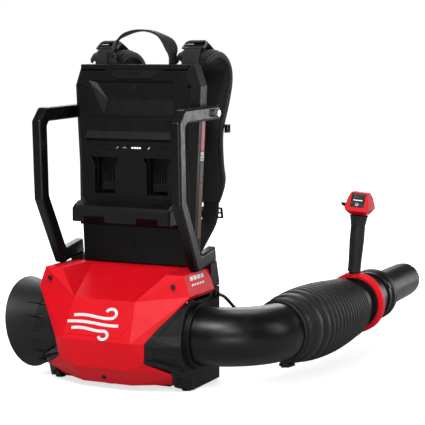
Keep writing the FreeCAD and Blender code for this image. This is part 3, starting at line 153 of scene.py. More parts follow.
def moulded(name, color, wear_and_highlight, roughness, grain, edge=0.0011, bounce=1.0):
    """Injection-moulded plastic: spark texture, slow tone changes, faint scuffs, and edges lightened by rubbed
    wear together with a painted edge highlight.
    """
    graph = Graph(name)
    where = place(graph)
    mask, rounded = edge_mask(graph, edge)
    tone = graph.noise(where, 9.0, 2.0)
    dust = graph.noise(where, 60.0, 5.0, 0.65)
    spark = graph.noise(where, 1500.0, 2.0, 0.6)
    scuff_place = graph.add("ShaderNodeMapping", i0=where, i3=(40.0, 300.0, 90.0)).outputs[0]
    scuff = graph.ramp(graph.noise(scuff_place, 1.0, 4.0, 0.7), 0.66, 0.78)
    base = graph.mix(graph.ramp(tone, 0.3, 0.7, 0.0, 0.35), color, tuple(0.8 * c for c in color[:3]) + (1.0,))
    base = graph.mix(graph.ramp(dust, 0.6, 0.85, 0.0, 0.12), base, wear_and_highlight)
    # Every convex and concave edge is lightened towards the wear colour: partly rubbed wear, partly a painted edge
    # highlight.
    edge_wear_and_highlight = graph.maths("MULTIPLY", mask, graph.ramp(dust, 0.35, 0.75, 0.05, 0.38))
    base = graph.mix(edge_wear_and_highlight, base, wear_and_highlight)
    if bounce < 1.0:
        seen = graph.add("ShaderNodeLightPath").outputs["Is Camera Ray"]
        base = graph.mix(seen, tuple(bounce * c for c in color[:3]) + (1.0,), base)
    rough = graph.maths("ADD", graph.ramp(dust, 0.3, 0.8, roughness - 0.05, roughness + 0.08),
                        graph.maths("MULTIPLY", scuff, 0.08))
    height = graph.maths("ADD", spark, graph.maths("MULTIPLY", scuff, -0.4))
    return graph.finish(Base_Color=base, Roughness=rough, Normal=graph.bump(height, grain, 0.00025, rounded),
                        Specular_IOR_Level=0.2 if color[0] > 0.1 else 0.34)


def elastomer(name, color, roughness=0.62):
    """Rubber: matt, slightly dusty, with a soft sheen and a painted highlight along its edges."""
    graph = Graph(name)
    where = place(graph)
    mask, rounded = edge_mask(graph, 0.0012)
    dust = graph.noise(where, 45.0, 5.0, 0.6)
    fine = graph.noise(where, 900.0, 2.0)
    dust_and_highlight = tuple(min(1.0, 2.6 * c + 0.01) for c in color[:3]) + (1.0,)
    base = graph.mix(graph.ramp(dust, 0.45, 0.8, 0.0, 0.25), color, dust_and_highlight)
    # Edges lightened by a fixed share towards the pale colour: a painted edge highlight.
    base = graph.mix(graph.maths("MULTIPLY", mask, 0.2), base, dust_and_highlight)
    rough = graph.ramp(dust, 0.3, 0.75, roughness - 0.08, roughness + 0.1)
    return graph.finish(Base_Color=base, Roughness=rough,
                        Normal=graph.bump(fine, 0.12, 0.0003, rounded), Specular_IOR_Level=0.42)


def metal(name, color, roughness, scratch=0.15):
    graph = Graph(name)
    where = place(graph)
    _, rounded = edge_mask(graph, 0.0004)
    stretched = graph.add("ShaderNodeMapping", i0=where, i3=(900.0, 900.0, 60.0)).outputs[0]
    brushed = graph.noise(stretched, 1.0, 3.0, 0.7)
    stain = graph.noise(where, 120.0, 4.0)
    dark = tuple(0.55 * c for c in color[:3]) + (1.0,)
    base = graph.mix(graph.ramp(stain, 0.45, 0.8, 0.0, 0.5), color, dark)
    rough = graph.ramp(brushed, 0.3, 0.7, roughness - 0.08, roughness + 0.12)
    return graph.finish(Base_Color=base, Metallic=1.0, Roughness=rough,
                        Normal=graph.bump(brushed, scratch, 0.0002, rounded))


def woven_tape(name, color):
    """Nylon webbing: ribs across the tape and a fine twill, laid out along the tape by its UVs in metres."""
    graph = Graph(name)
    uv = graph.add("ShaderNodeTexCoord").outputs["UV"]
    parts = graph.add("ShaderNodeSeparateXYZ", i0=uv)
    across, along = parts.outputs[0], parts.outputs[1]
    rib = graph.maths("FRACT", graph.maths("MULTIPLY", across, 140.0))
    slope = graph.maths("ABSOLUTE", graph.maths("SUBTRACT", rib, 0.5))
    slanted = graph.maths("ADD", along, graph.maths("MULTIPLY", slope, 0.004))
    twill = graph.maths("SINE", graph.maths("MULTIPLY", slanted, 3600.0))
    yarn = graph.maths("SINE", graph.maths("MULTIPLY", across, 5200.0))
    weave = graph.maths("MULTIPLY", graph.ramp(twill, -1.0, 1.0), graph.ramp(yarn, -1.0, 1.0, 0.4, 1.0))
    fuzz = graph.noise(place(graph), 700.0, 3.0)
    # Raised yarns of the weave are lightened towards a paler colour: painted sheen on the yarn crowns.
    light = tuple(2.8 * c + 0.012 for c in color[:3]) + (1.0,)
    base = graph.mix(graph.maths("MULTIPLY", weave, graph.ramp(fuzz, 0.3, 0.7, 0.3, 0.7)), color, light)
    height = graph.maths("ADD", weave, graph.maths("MULTIPLY", fuzz, 0.3))
    return graph.finish(Base_Color=base, Roughness=0.78, Normal=graph.bump(height, 0.5, 0.0005),
                        Sheen_Weight=0.12, Sheen_Roughness=0.4)


def pad_cloth(name, color, mesh_holes):
    """Padded polyester: a plain weave, or an open spacer mesh, its holes darkened with painted shade, on the side
    against the body.
    """
    graph = Graph(name)
    where = place(graph)
    parts = graph.add("ShaderNodeSeparateXYZ", i0=where)
    side = graph.maths("ADD", parts.outputs[1], parts.outputs[2])
    warp = graph.maths("SINE", graph.maths("MULTIPLY", parts.outputs[0], 4200.0))
    weft = graph.maths("SINE", graph.maths("MULTIPLY", side, 3600.0))
    weave = graph.ramp(graph.maths("MULTIPLY", warp, weft), -1.0, 1.0)
    fuzz = graph.noise(where, 500.0, 4.0, 0.65)
    crease = graph.noise(where, 22.0, 4.0, 0.6)
    height = graph.maths("ADD", weave, graph.maths("MULTIPLY", crease, 2.0))
    # Raised yarns of the weave are lightened towards a paler colour: painted sheen on the yarn crowns.
    light = tuple(2.6 * c + 0.01 for c in color[:3]) + (1.0,)
    share = graph.maths("MULTIPLY", weave, graph.ramp(fuzz, 0.25, 0.8, 0.2, 0.75))
    base = graph.mix(share, color, light)
    if mesh_holes:
        cells = graph.add("ShaderNodeTexVoronoi", {"feature": "DISTANCE_TO_EDGE"}, Vector=where, Scale=330.0)
        hole = graph.ramp(cells.outputs["Distance"], 0.16, 0.3)
        # Mesh holes darkened to 0.35 of the cloth colour: painted shade in the recesses.
        base = graph.mix(hole, base, tuple(0.35 * c for c in color[:3]) + (1.0,))
        height = graph.maths("SUBTRACT", height, graph.maths("MULTIPLY", hole, 1.6))
    return graph.finish(Base_Color=base, Roughness=0.88, Normal=graph.bump(height, 0.55, 0.0006),
                        Sheen_Weight=0.1, Sheen_Roughness=0.5)


def printed(name, color, roughness=0.35, glow=0.0):
    """Pad-printed or lit marking with slightly uneven ink."""
    graph = Graph(name)
    ink = graph.noise(place(graph), 400.0, 3.0)
    faded = tuple(0.82 * c for c in color[:3]) + (1.0,)
    base = graph.mix(graph.ramp(ink, 0.45, 0.7, 0.0, 0.5), color, faded)
    return graph.finish(Base_Color=base, Roughness=graph.ramp(ink, 0.3, 0.7, roughness, roughness + 0.1),
                        Emission_Color=color, Emission_Strength=glow, Normal=graph.bump(ink, 0.1, 0.0001))


def window(name):
    """Dark smooth window with faint fingerprints."""
    graph = Graph(name)
    smear = graph.noise(place(graph), 160.0, 5.0, 0.7)
    _, rounded = edge_mask(graph, 0.0006)
    return graph.finish(Base_Color=rgb(0.006, 0.006, 0.008), Roughness=graph.ramp(smear, 0.4, 0.7, 0.1, 0.3),
                        Coat_Weight=0.6, Coat_Roughness=0.08, Normal=rounded)


def circuit(name):
    graph = Graph(name)
    where = place(graph)
    lines = graph.add("ShaderNodeTexBrick", Vector=where, Scale=120.0)
    lines.inputs["Color1"].default_value = rgb(0.01, 0.1, 0.035)
    lines.inputs["Color2"].default_value = rgb(0.015, 0.14, 0.05)
    lines.inputs["Mortar"].default_value = rgb(0.3, 0.26, 0.12)
    lines.inputs["Mortar Size"].default_value = 0.02
    return graph.finish(Base_Color=lines.outputs["Color"], Roughness=0.3,
                        Normal=graph.bump(lines.outputs["Fac"], 0.3, 0.0002))


RED = moulded("red_plastic", rgb(0.82, 0.0045, 0.014), rgb(0.85, 0.03, 0.04), 0.46, 0.10, bounce=0.3)
BLACK = moulded("black_plastic", rgb(0.0024, 0.0025, 0.0027), rgb(0.018, 0.018, 0.02), 0.44, 0.16)
SATIN = moulded("black_satin", rgb(0.0026, 0.0027, 0.0029), rgb(0.02, 0.02, 0.021), 0.33, 0.10)
BELL = moulded("black_ribbed", rgb(0.0075, 0.0076, 0.008), rgb(0.035, 0.035, 0.037), 0.50, 0.2)
RUBBER = elastomer("black_rubber", rgb(0.0055, 0.0055, 0.0058), 0.5)
GRIP = elastomer("grip_rubber", rgb(0.0085, 0.0085, 0.0088), 0.55)
STEEL = metal("zinc_steel", rgb(0.5, 0.5, 0.51), 0.3)
DARK_STEEL = metal("black_steel", rgb(0.06, 0.06, 0.063), 0.38)
IRON = metal("laminated_iron", rgb(0.22, 0.2, 0.19), 0.5, 0.6)
BRASS = metal("contact_brass", rgb(0.72, 0.52, 0.2), 0.28)
GLASSY = window("display_window")
BOARD = circuit("circuit_board")
WEBBING = woven_tape("nylon_webbing", rgb(0.0042, 0.0042, 0.0045))
BINDING = woven_tape("edge_binding", rgb(0.016, 0.016, 0.0165))
CLOTH = pad_cloth("pad_weave", rgb(0.0036, 0.0036, 0.0038), False)
SPACER = pad_cloth("pad_spacer_mesh", rgb(0.0055, 0.0055, 0.0058), True)
THREAD = printed("stitch_thread", rgb(0.075, 0.075, 0.078), 0.7)
WHITE_INK = printed("white_marking", rgb(0.86, 0.86, 0.85), 0.4)
LIT_WHITE = printed("lit_marking", rgb(0.9, 0.92, 0.95), 0.4, 0.5)
GREY_INK = printed("grey_marking", rgb(0.10, 0.10, 0.10), 0.45)
RED_INK = printed("red_label", rgb(0.62, 0.012, 0.025), 0.3)
AMBER_INK = printed("amber_label", rgb(0.20, 0.075, 0.012), 0.35)

FINISH = {
    "red_plastic": RED, "black_plastic": BLACK, "black_rubber": RUBBER, "display_black": GLASSY,
    "steel": STEEL, "motor_iron": IRON, "terminal_brass": BRASS, "board_green": BOARD,
    "webbing": WEBBING, "pad_fabric": CLOTH,
}
SPECIAL = {
    "elbow_tube": SATIN, "blow_tube": SATIN, "nozzle": SATIN, "left_handle": SATIN, "right_handle": SATIN,
    "intake_bell": BELL, "grip_overmould": GRIP, "cover_screws": RUBBER, "plate_screws": RUBBER,
    "rear_clamp_band": DARK_STEEL, "front_clamp_band": DARK_STEEL, "battery_terminals": BLACK,
    "control_cable": RUBBER,
}


def dress(obj, material):
    obj.data.materials.clear()
    obj.data.materials.append(material)


for entry in frame["record"]["subparts"]:
    node = entry["node"]
    dress(NODES[node], SPECIAL.get(node, FINISH[entry["material_slot"]]))

# ---- mesh helpers -------------------------------------------------------------------------------


def new_piece(name, vertices, faces, material, smooth=True, uvs=None):
    mesh = bpy.data.meshes.new(name)
    mesh.from_pydata([tuple(v) for v in vertices], [], faces)
    if uvs:
        layer = mesh.uv_layers.new(name="UVMap")
        for loop in mesh.loops:
            layer.data[loop.index].uv = uvs[loop.vertex_index]
    work = bmesh.new()
    work.from_mesh(mesh)
    bmesh.ops.recalc_face_normals(work, faces=work.faces)
    work.to_mesh(mesh)
    work.free()
    for face in mesh.polygons:
        face.use_smooth = smooth
    obj = bpy.data.objects.new(name, mesh)
    bpy.context.scene.collection.objects.link(obj)
    mesh.materials.append(material)
    return obj


def spline(points, steps):
    """Catmull-Rom points through the given ones."""
    points = [Vector(p) for p in points]
    ends = [2 * points[0] - points[1]] + points + [2 * points[-1] - points[-2]]
    out = []
    for i in range(1, len(ends) - 2):
        a, b, c, d = ends[i - 1:i + 3]
        for j in range(steps):
            t = j / steps
            out.append(0.5 * (2 * b + (c - a) * t + (2 * a - 5 * b + 4 * c - d) * t * t
                              + (3 * b - a - 3 * c + d) * t ** 3))
    return out + [points[-1]]


def resample(points, pitch):
    """Points at even distances along a polyline."""
    lengths = [0.0]
    for a, b in zip(points, points[1:]):
        lengths.append(lengths[-1] + (b - a).length)
    count = max(2, round(lengths[-1] / pitch))
    out, i = [], 0
    for k in range(count + 1):
        s = lengths[-1] * k / count
        while i < len(points) - 2 and lengths[i + 1] < s:
            i += 1
        share = (s - lengths[i]) / max(1e-9, lengths[i + 1] - lengths[i])
        out.append(points[i].lerp(points[i + 1], min(1.0, share)))
    return out


def tangents(points):
    out = []
    for i in range(len(points)):
        out.append((points[min(i + 1, len(points) - 1)] - points[max(i - 1, 0)]).normalized())
    return out


def sweep(name, points, sides, section, material, scale=None):
    """Solid swept along points. Section points are (across, out): across is along the given side vector."""
    count = len(section)
    vertices, uvs, faces = [], [], []
    travelled = 0.0
    for i, (point, tangent, side) in enumerate(zip(points, tangents(points), sides)):
        side = (side - tangent * side.dot(tangent)).normalized()
        out = tangent.cross(side)
        wide, thick = scale(i / (len(points) - 1)) if scale else (1.0, 1.0)
        if i:
            travelled += (point - points[i - 1]).length
        for across, outward in section:
            vertices.append(point + side * across * wide + out * outward * thick)
            uvs.append((across * wide, travelled))
    for i in range(len(points) - 1):
        for k in range(count):
            a, b = i * count + k, i * count + (k + 1) % count
            faces.append((a, b, b + count, a + count))
    faces.append(tuple(range(count))[::-1])
    faces.append(tuple(range(len(vertices) - count, len(vertices))))
    return new_piece(name, vertices, faces, material, True, uvs)


def tape_section(width, thickness):
    """Flat tape with rounded selvedges."""
    w, t = width / 2, thickness / 2
    corner = 0.35 * t
    return [(-w, 0), (-w + corner, -0.75 * t), (-w + t, -t), (-w / 2, -t), (0, -t), (w / 2, -t),
            (w - t, -t), (w - corner, -0.75 * t), (w, 0), (w - corner, 0.75 * t), (w - t, t), (w / 2, t),
            (0, t), (-w / 2, t), (-w + t, t), (-w + corner, 0.75 * t)]


def round_section(radius, count=10):
    return [(radius * math.cos(2 * math.pi * k / count), radius * math.sin(2 * math.pi * k / count))
            for k in range(count)]


def join_pieces(name, pieces):
    """One object from several, keeping their materials."""
    bpy.ops.object.select_all(action="DESELECT")
    for piece in pieces:
        piece.select_set(True)
    bpy.context.view_layer.objects.active = pieces[0]
    bpy.ops.object.join()
    pieces[0].name = name
    return pieces[0]


def stitches(name, points, ups, length=0.0032, gap=0.0026, radius=0.00038):
    """Row of thread stitches lying on a surface, each a slim rounded bar."""
    points = resample(points, length + gap)
    ups = [ups[min(len(ups) - 1, round(i * (len(ups) - 1) / (len(points) - 1)))] for i in range(len(points))]
    vertices, faces = [], []
    for point, tangent, up in zip(points, tangents(points), ups):
        side = tangent.cross(up).normalized()
        start = len(vertices)
        for along, lift, size in ((-0.5, -0.3, 0.5), (-0.3, 0.7, 1), (0.3, 0.7, 1), (0.5, -0.3, 0.5)):
            centre = point + tangent * along * length + up * lift * radius
            for a, b in ((1, 0), (0, 1), (-1, 0), (0, -1)):
                vertices.append(centre + (side * a + up * b) * radius * size)
        for row in range(3):
            for k in range(4):
                a, b = start + row * 4 + k, start + row * 4 + (k + 1) % 4
                faces.append((a, b, b + 4, a + 4))
        faces.append((start + 3, start + 2, start + 1, start))
        faces.append((start + 12, start + 13, start + 14, start + 15))
    return new_piece(name, vertices, faces, THREAD)


def plate_piece(name, outline, origin, u, v, depth, material, bevel=0.0):
    """Flat shape drawn in the plane of u and v at origin, raised along their normal."""
    u, v, origin = Vector(u).normalized(), Vector(v).normalized(), Vector(origin)
    normal = u.cross(v)
    low = [origin + u * a + v * b for a, b in outline]
    high = [p + normal * depth for p in low]
    count = len(outline)
    faces = [tuple(range(count))[::-1], tuple(range(count, 2 * count))]
    faces += [(k, (k + 1) % count, (k + 1) % count + count, k + count) for k in range(count)]
    obj = new_piece(name, low + high, faces, material, False)
    if bevel:
        modifier = obj.modifiers.new("edge", "BEVEL")
        modifier.width = bevel
        modifier.segments = 2
    return obj


def stroke(path, width):
    """Outline of a rounded line of a given width through 2-D points."""
    left, right = [], []
    for i, (x, y) in enumerate(path):
        ax, ay = path[max(i - 1, 0)]
        bx, by = path[min(i + 1, len(path) - 1)]
        length = math.hypot(bx - ax, by - ay)
        nx, ny = -(by - ay) / length, (bx - ax) / length
        left.append((x + nx * width / 2, y + ny * width / 2))
        right.append((x - nx * width / 2, y - ny * width / 2))
    return right + left[::-1]


# ---- bellows ------------------------------------------------------------------------------------
JOINT = {joint["name"]: joint for joint in frame["joints"]}
TUBE_CENTRE = Vector(JOINT["handle_roll"]["pos_m"])
FRONT_END = Vector((TUBE_CENTRE.x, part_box("bellows")[1].y, TUBE_CENTRE.z))
LEAN = math.radians(10.0)
HOSE_BEND = 1.68514              # bend radius of the bellows' centreline
HOSE_LENGTH = HOSE_BEND * LEAN


def hose_point(distance):
    turn = LEAN - distance / HOSE_BEND
    centre = Vector((TUBE_CENTRE.x - HOSE_BEND * (1 - math.cos(turn)),
                     FRONT_END.y - HOSE_BEND * math.sin(turn), TUBE_CENTRE.z))
    return centre, Vector((math.sin(turn), math.cos(turn), 0))


def bellows_rows():
    """Outer profile (distance, radius): ribbed cuff, wide folds that tighten towards the tube, plain cuff."""
    rows = [(0.003, 0.0548), (0.004, 0.0578), (0.009, 0.0580)]
    for i in range(3):
        start = 0.010 + 0.0055 * i
        rows += [(start, 0.0582), (start + 0.001, 0.0604), (start + 0.0032, 0.0606), (start + 0.0042, 0.0584)]
    first, last = 0.030, HOSE_LENGTH - 0.021
    weights = [2.1, 1.5] + [1.08 - 0.018 * i for i in range(15)]
    unit = (last - first) / sum(weights)
    start = first
    for i, weight in enumerate(weights):
        share = (start - first) / (last - first)
        crest = 0.0630 + 0.0085 * math.sin(math.pi * min(1.0, share + 0.08) ** 0.85)
        pitch = unit * weight
        depth = min(0.0062, 0.5 * pitch)
        for k in range(10):
            t = k / 10
            lobe = math.sin(math.pi * t) ** 0.45 if t else 0.0
            rows.append((start + t * pitch, crest - depth * (1 - lobe)))
        start += pitch
    rows += [(last, 0.0528), (last + 0.002, 0.0508), (HOSE_LENGTH - 0.002, 0.0506), (HOSE_LENGTH, 0.0496)]
    return rows


def bellows_part(name, rows, near, far):
    outer = [row for row in rows if near - 1e-6 <= row[0] <= far + 1e-6]
    wall = 0.0016
    profile = outer + [(s, r - wall) for s, r in outer[::-1]]
    segments = 96
    vertices, faces = [], []
    for distance, radius in profile:
        centre, heading = hose_point(distance)
        side = heading.cross(Vector((0, 0, 1)))
        for k in range(segments):
            angle = 2 * math.pi * k / segments
            vertices.append(centre + (side * math.cos(angle) + Vector((0, 0, 1)) * math.sin(angle)) * radius)
    count = len(profile)
    for i in range(count):
        for k in range(segments):
            a, b = i * segments + k, i * segments + (k + 1) % segments
            c, d = ((i + 1) % count) * segments + (k + 1) % segments, ((i + 1) % count) * segments + k
            faces.append((a, b, c, d))
    return new_piece(name, vertices, faces, RUBBER)


def make_bellows():
    rows = bellows_rows()
    middle = min(rows, key=lambda row: abs(row[0] - HOSE_LENGTH / 2))[0]
    rear = bellows_part("bellows_rear_half", rows, 0, middle)
    front = bellows_part("bellows_front_half", rows, middle, HOSE_LENGTH)
    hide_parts("bellows")
    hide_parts("bellows")
    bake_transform(rear)
    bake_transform(front)


# ---- control cable ------------------------------------------------------------------------------
def make_cable():
    """Jacketed cable in four lengths, one for each joint it crosses."""
    grommet_low, grommet_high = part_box("cable_grommet")
    grommet = (grommet_low + grommet_high) / 2
    exit_point = Vector((grommet_high.x - 0.002, grommet.y, grommet.z))
    end_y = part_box("control_cable")[1].y - 0.002
    x_end = TUBE_CENTRE.x - 0.0595
    path = spline([exit_point, exit_point + Vector((0.013, 0.004, -0.005)),
                   (0.182, 0.010, 0.138), (0.196, 0.034, 0.112),
                   (0.203, 0.080, 0.100), (0.206, 0.150, 0.098), (0.217, 0.240, 0.106), (0.231, 0.306, 0.116),
                   (0.231, 0.326, 0.116), (x_end, end_y, 0.124)], 10)
    path = resample(path, 0.006)
    cuts = [0, min(range(len(path)), key=lambda i: abs(path[i].y - 0.05)),
            min(range(len(path)), key=lambda i: abs(path[i].y - 0.155)),
            min(range(len(path)), key=lambda i: abs(path[i].y - 0.235)), len(path) - 1]
    bodies = (("frame", "elbow"), ("elbow", "hose"), ("hose", "tube"), ("tube", "liner"))
    for number, (first, last, pair) in enumerate(zip(cuts, cuts[1:], bodies)):
        part = path[first:last + 1]
        sides = [Vector((0.13, 0.2, 1)).normalized() for _ in part]
        cable = sweep("cable_length_%d" % (number + 1), part, sides, round_section(0.0032, 14), RUBBER)
        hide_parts("control_cable")
        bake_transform(cable)


def make_trigger_spring():
    """Return spring of the throttle, carried by the handle as a rigid copy; it does not shorten as the trigger is
    pulled.
    """
    source = NODES["trigger_spring"]
    vertices = [source.matrix_world @ vertex.co for vertex in source.data.vertices]
    faces = [tuple(face.vertices) for face in source.data.polygons]
    spring = new_piece("throttle_spring", vertices, faces, STEEL)
    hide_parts("trigger_spring")
    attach(spring, "handle")
    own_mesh(spring)


# ---- harness ------------------------------------------------------------------------------------
X_AXIS = Vector((1, 0, 0))


def pad_path(node):
    """Centreline of a shoulder pad: over the shoulder, then down the chest side."""
    low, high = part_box(node)
    x = (low.x + high.x) / 2
    pairs = [(14, 598), (38, 609), (72, 608), (102, 591), (111, 562), (97, 516), (75, 458), (72, 405),
             (87, 356), (97, 326)]
    return [Vector((x, y / 1000, z / 1000)) for y, z in pairs], high.x - low.x


def pad_section(width, thickness, count=9):
    """Lens with full edges: flat-ish faces, rounded rims."""
    w, t = width / 2, thickness / 2
    rim = [(w - t * 0.8 * (1 - math.cos(a)), t * math.sin(a)) for a in
           [math.pi / 2 * k / 4 for k in range(5)]]
    right = [(x, -y) for x, y in rim[::-1]] + rim[1:]
    top = [(w * (0.8 - 1.6 * k / count), t) for k in range(1, count)]
    left = [(-x, -y) for x, y in right]
    bottom = [(-x, -y) for x, y in top]
    return right + top + left + bottom


def pad_width(t):
    """Pads are wide over the shoulder, waisted at the armpit and tapered to the lower strap."""
    waist = 1.0 - 0.10 * math.exp(-((t - 0.60) / 0.12) ** 2)
    tip = 1.0 - 0.58 * max(0.0, (t - 0.85) / 0.15) ** 1.6
    start = 1.0 - 0.12 * max(0.0, (0.08 - t) / 0.08) ** 2
    return waist * tip * start


def bake_modifiers(obj):
    graph = bpy.context.evaluated_depsgraph_get()
    mesh = bpy.data.meshes.new_from_object(obj.evaluated_get(graph))
    obj.modifiers.clear()
    old = obj.data
    obj.data = mesh
    bpy.data.meshes.remove(old)


def puff(obj, voxel, pressure, cap, frames=20):
    """Swells a closed shape like a stuffed pad and keeps every point within cap of its start."""
    remesh = obj.modifiers.new("voxels", "REMESH")
    remesh.mode = "VOXEL"
    remesh.voxel_size = voxel
    bake_modifiers(obj)
    start = [v.co.copy() for v in obj.data.vertices]
    cloth = obj.modifiers.new("cloth", "CLOTH")
    cloth.settings.use_pressure = True
    cloth.settings.uniform_pressure_force = pressure
    cloth.settings.effector_weights.gravity = 0.0
    cloth.settings.tension_stiffness = 12
    cloth.settings.compression_stiffness = 12
    cloth.settings.bending_stiffness = 0.6
    cloth.point_cache.frame_start, cloth.point_cache.frame_end = 1, frames
    for step in range(1, frames + 1):
        bpy.context.scene.frame_set(step)
    bake_modifiers(obj)
    for vertex, home in zip(obj.data.vertices, start):
        move = vertex.co - home
        if move.length > cap:
            vertex.co = home + move * (cap / move.length)
    bpy.context.scene.frame_set(1)


def soften(obj, levels=1):
    subdivide = obj.modifiers.new("smooth", "SUBSURF")
    subdivide.levels = subdivide.render_levels = levels
    bake_modifiers(obj)
    for face in obj.data.polygons:
        face.use_smooth = True


def make_shoulder_pad(side, node):
    control, width = pad_path(node)
    path = resample(spline(control, 8), 0.006)
    sides = [X_AXIS for _ in path]
    thickness = 0.0150
    shape = lambda t: (pad_width(t), 1.0 - 0.35 * max(0.0, (t - 0.93) / 0.07))
    pad = sweep(side + "_pad_body", path, sides, pad_section(width - 0.006, thickness), CLOTH, shape)
    puff(pad, 0.005, 4.0, 0.0025)
    soften(pad)
    pad.data.materials.clear()
    pad.data.materials.append(CLOTH)
    pad.data.materials.append(SPACER)
    middle = resample(path, 0.01)
    for face in pad.data.polygons:
        near = min(range(len(middle)), key=lambda i: (middle[i] - face.center).length_squared)
        along = tangents(middle[max(0, near - 1):near + 2])[0]
        inward = along.cross(X_AXIS)
        face.material_index = 1 if face.normal.dot(inward) > 0.5 else 0
    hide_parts(node)
    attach(pad, "frame")
    rims = []
    for end in (-1, 1):
        rim_path = []
        for i, point in enumerate(path):
            wide = pad_width(i / (len(path) - 1))
            rim_path.append(point + X_AXIS * end * ((width - 0.006) / 2 * wide + 0.0008))
        rim = sweep("rim", rim_path, sides, [(a, b * 2.2) for a, b in round_section(0.0026, 10)], BINDING)
        rims.append(rim)
        ups = []
        for tangent in tangents(rim_path):
            ups.append(tangent.cross(X_AXIS) * -1)
        row = [p + up * (thickness / 2 + 0.0010) - X_AXIS * end * 0.0085 for p, up in zip(rim_path, ups)]
        rims.append(stitches("seam", row[3:-3], ups[3:-3]))
    trim = join_pieces(side + "_pad_binding", rims)
    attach(trim, "frame")
    tape_path = []
    outs = [tangent.cross(X_AXIS) * -1 for tangent in tangents(path)]
    for i, (point, out) in enumerate(zip(path, outs)):
        if 0.12 < i / (len(path) - 1) < 0.995:
            tape_path.append(point + out * (thickness / 2 + 0.0022))
    tape = sweep("tape", tape_path, [X_AXIS] * len(tape_path), tape_section(0.034, 0.0018), WEBBING)
    tape_ups = [tangent.cross(X_AXIS) * -1 for tangent in tangents(tape_path)]
    pieces = [tape]
    for end in (-1, 1):
        row = [p + up * 0.0011 + X_AXIS * end * 0.0145 for p, up in zip(tape_path, tape_ups)]
        pieces.append(stitches("seam", row, tape_ups))
    strap = join_pieces(side + "_pad_strap", pieces)
    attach(strap, "frame")


def make_back_pad():
    low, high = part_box("back_pad")
    centre = (low + high) / 2
    half = (high - low) / 2
    columns, rows = 21, 41
    vertices, faces = [], []
    for layer in (0, 1):
        for j in range(rows):
            for i in range(columns):
                u, v = 2 * i / (columns - 1) - 1, 2 * j / (rows - 1) - 1
                round_off = (1 - abs(u) ** 6) * (1 - abs(v) ** 12)
                cross_seams = sum(math.exp(-((v - c) / 0.035) ** 2) for c in (-0.5, 0.0, 0.5))
                channel = math.exp(-(u / 0.07) ** 2) + cross_seams
                lift = half.y * (0.25 + 0.75 * max(0.0, round_off) ** 0.5) - 0.0035 * min(1.0, channel)
                y = centre.y - half.y if layer == 0 else centre.y - half.y + 2 * lift
                shrink = 1 - 0.03 * abs(v) ** 4
                vertices.append((centre.x + half.x * 0.98 * u * shrink, y, centre.z + half.z * 0.98 * v))
    per = columns * rows
    for layer in (0, 1):
        for j in range(rows - 1):
            for i in range(columns - 1):
                a = layer * per + j * columns + i
                faces.append((a, a + 1, a + columns + 1, a + columns))
    border = [i for i in range(columns)] + [j * columns + columns - 1 for j in range(1, rows)]
    border += [(rows - 1) * columns + i for i in range(columns - 2, -1, -1)]
    border += [j * columns for j in range(rows - 2, 0, -1)]
    for a, b in zip(border, border[1:] + border[:1]):
        faces.append((a, b, b + per, a + per))
    pad = new_piece("back_pad_cushion", vertices, faces, SPACER)
    puff(pad, 0.005, 3.0, 0.003)
    soften(pad)
    dress(pad, SPACER)
    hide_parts("back_pad")
    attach(pad, "frame")


def make_strap(name, node, side_x, pairs, width, thickness, body="frame"):
    path = resample(spline([Vector((side_x, y / 1000, z / 1000)) for y, z in pairs], 8), 0.005)
    sides = [X_AXIS] * len(path)
    ups = [tangent.cross(X_AXIS) * -1 for tangent in tangents(path)]
    pieces = [sweep(name, path, sides, tape_section(width, thickness), WEBBING)]
    for end in (-1, 1):
        for face in (-1, 1):
            inset = X_AXIS * end * (width / 2 - 0.004)
            row = [p + up * face * thickness * 0.52 + inset for p, up in zip(path, ups)]
            pieces.append(stitches("seam", row, [up * face for up in ups]))
    strap = join_pieces(name, pieces)
    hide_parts(node)
    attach(strap, body)


def make_straps():
    low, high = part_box("right_shoulder_pad")
    x = (low.x + high.x) / 2
    upper = [(2.5, 560), (3, 586), (7, 605), (16, 620), (30, 627)]
    lower = [(98, 336), (97, 318), (95, 303), (84, 284), (54, 262), (24, 242), (4, 234)]
    for side, place_x in (("left", -x), ("right", x)):
        make_strap(side + "_lifter_strap", "lifter_webbing", place_x, upper, 0.036, 0.0022)
        make_strap(side + "_lower_strap", "lower_webbing", place_x, lower, 0.034, 0.0022)
        make_tail(side, place_x)


def make_tail(side, x):
    """Loose end of the lifter strap, which loops over the slider and hangs on the pad."""
    pairs = [(24, 633), (36, 636), (52, 631), (66, 625), (82, 617)]
    path = resample(spline([Vector((x, y / 1000, z / 1000)) for y, z in pairs], 8), 0.004)
    tail = sweep(side + "_strap_tail", path, [X_AXIS] * len(path), tape_section(0.032, 0.002), WEBBING)
    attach(tail, "frame")


def make_carry_loop():
    """Webbing handle: its legs lie flat against the plate and twist so that the top lies flat in the hand."""
    low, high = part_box("carry_loop")
    centre = (low + high) / 2
    half_x, height = (high.x - low.x) / 2 - 0.0025, high.z - low.z - 0.015
    base = low.z + 0.015
    path, sides = [], []
    for i in range(61):
        angle = math.pi * i / 60
        x, z = -half_x * math.cos(angle), height * math.sin(angle)
        path.append(Vector((centre.x + x, centre.y, base + z)))
    path = [path[0] + Vector((0, 0, drop)) for drop in (-0.022, -0.014, -0.006)] + path
    path += [path[-1] + Vector((0, 0, drop)) for drop in (-0.006, -0.014, -0.022)]
    for point, tangent in zip(path, tangents(path)):
        rise = min(1.0, max(0.0, (point.z - base + 0.004) / 0.016))
        fall = min(1.0, max(0.0, (point.z - base - 0.016) / (0.9 * height - 0.016)))
        turn = math.radians(40) * rise * (1 - fall * fall * (3 - 2 * fall))
        flat = Vector((0, 1, 0))
        out = tangent.cross(flat)
        sides.append((flat * math.cos(turn) + out * math.sin(turn)).normalized())
    loop = sweep("carry_handle", path, sides, tape_section(0.026, 0.0036), WEBBING)
    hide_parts("carry_loop")
    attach(loop, "loop")


# ---- markings and small fittings ----------------------------------------------------------------
BADGE_SPOT = Vector((-0.006, -0.184, 0.127))
SHOULDER_MARK = Vector((0.149, -0.083, 0.2035))


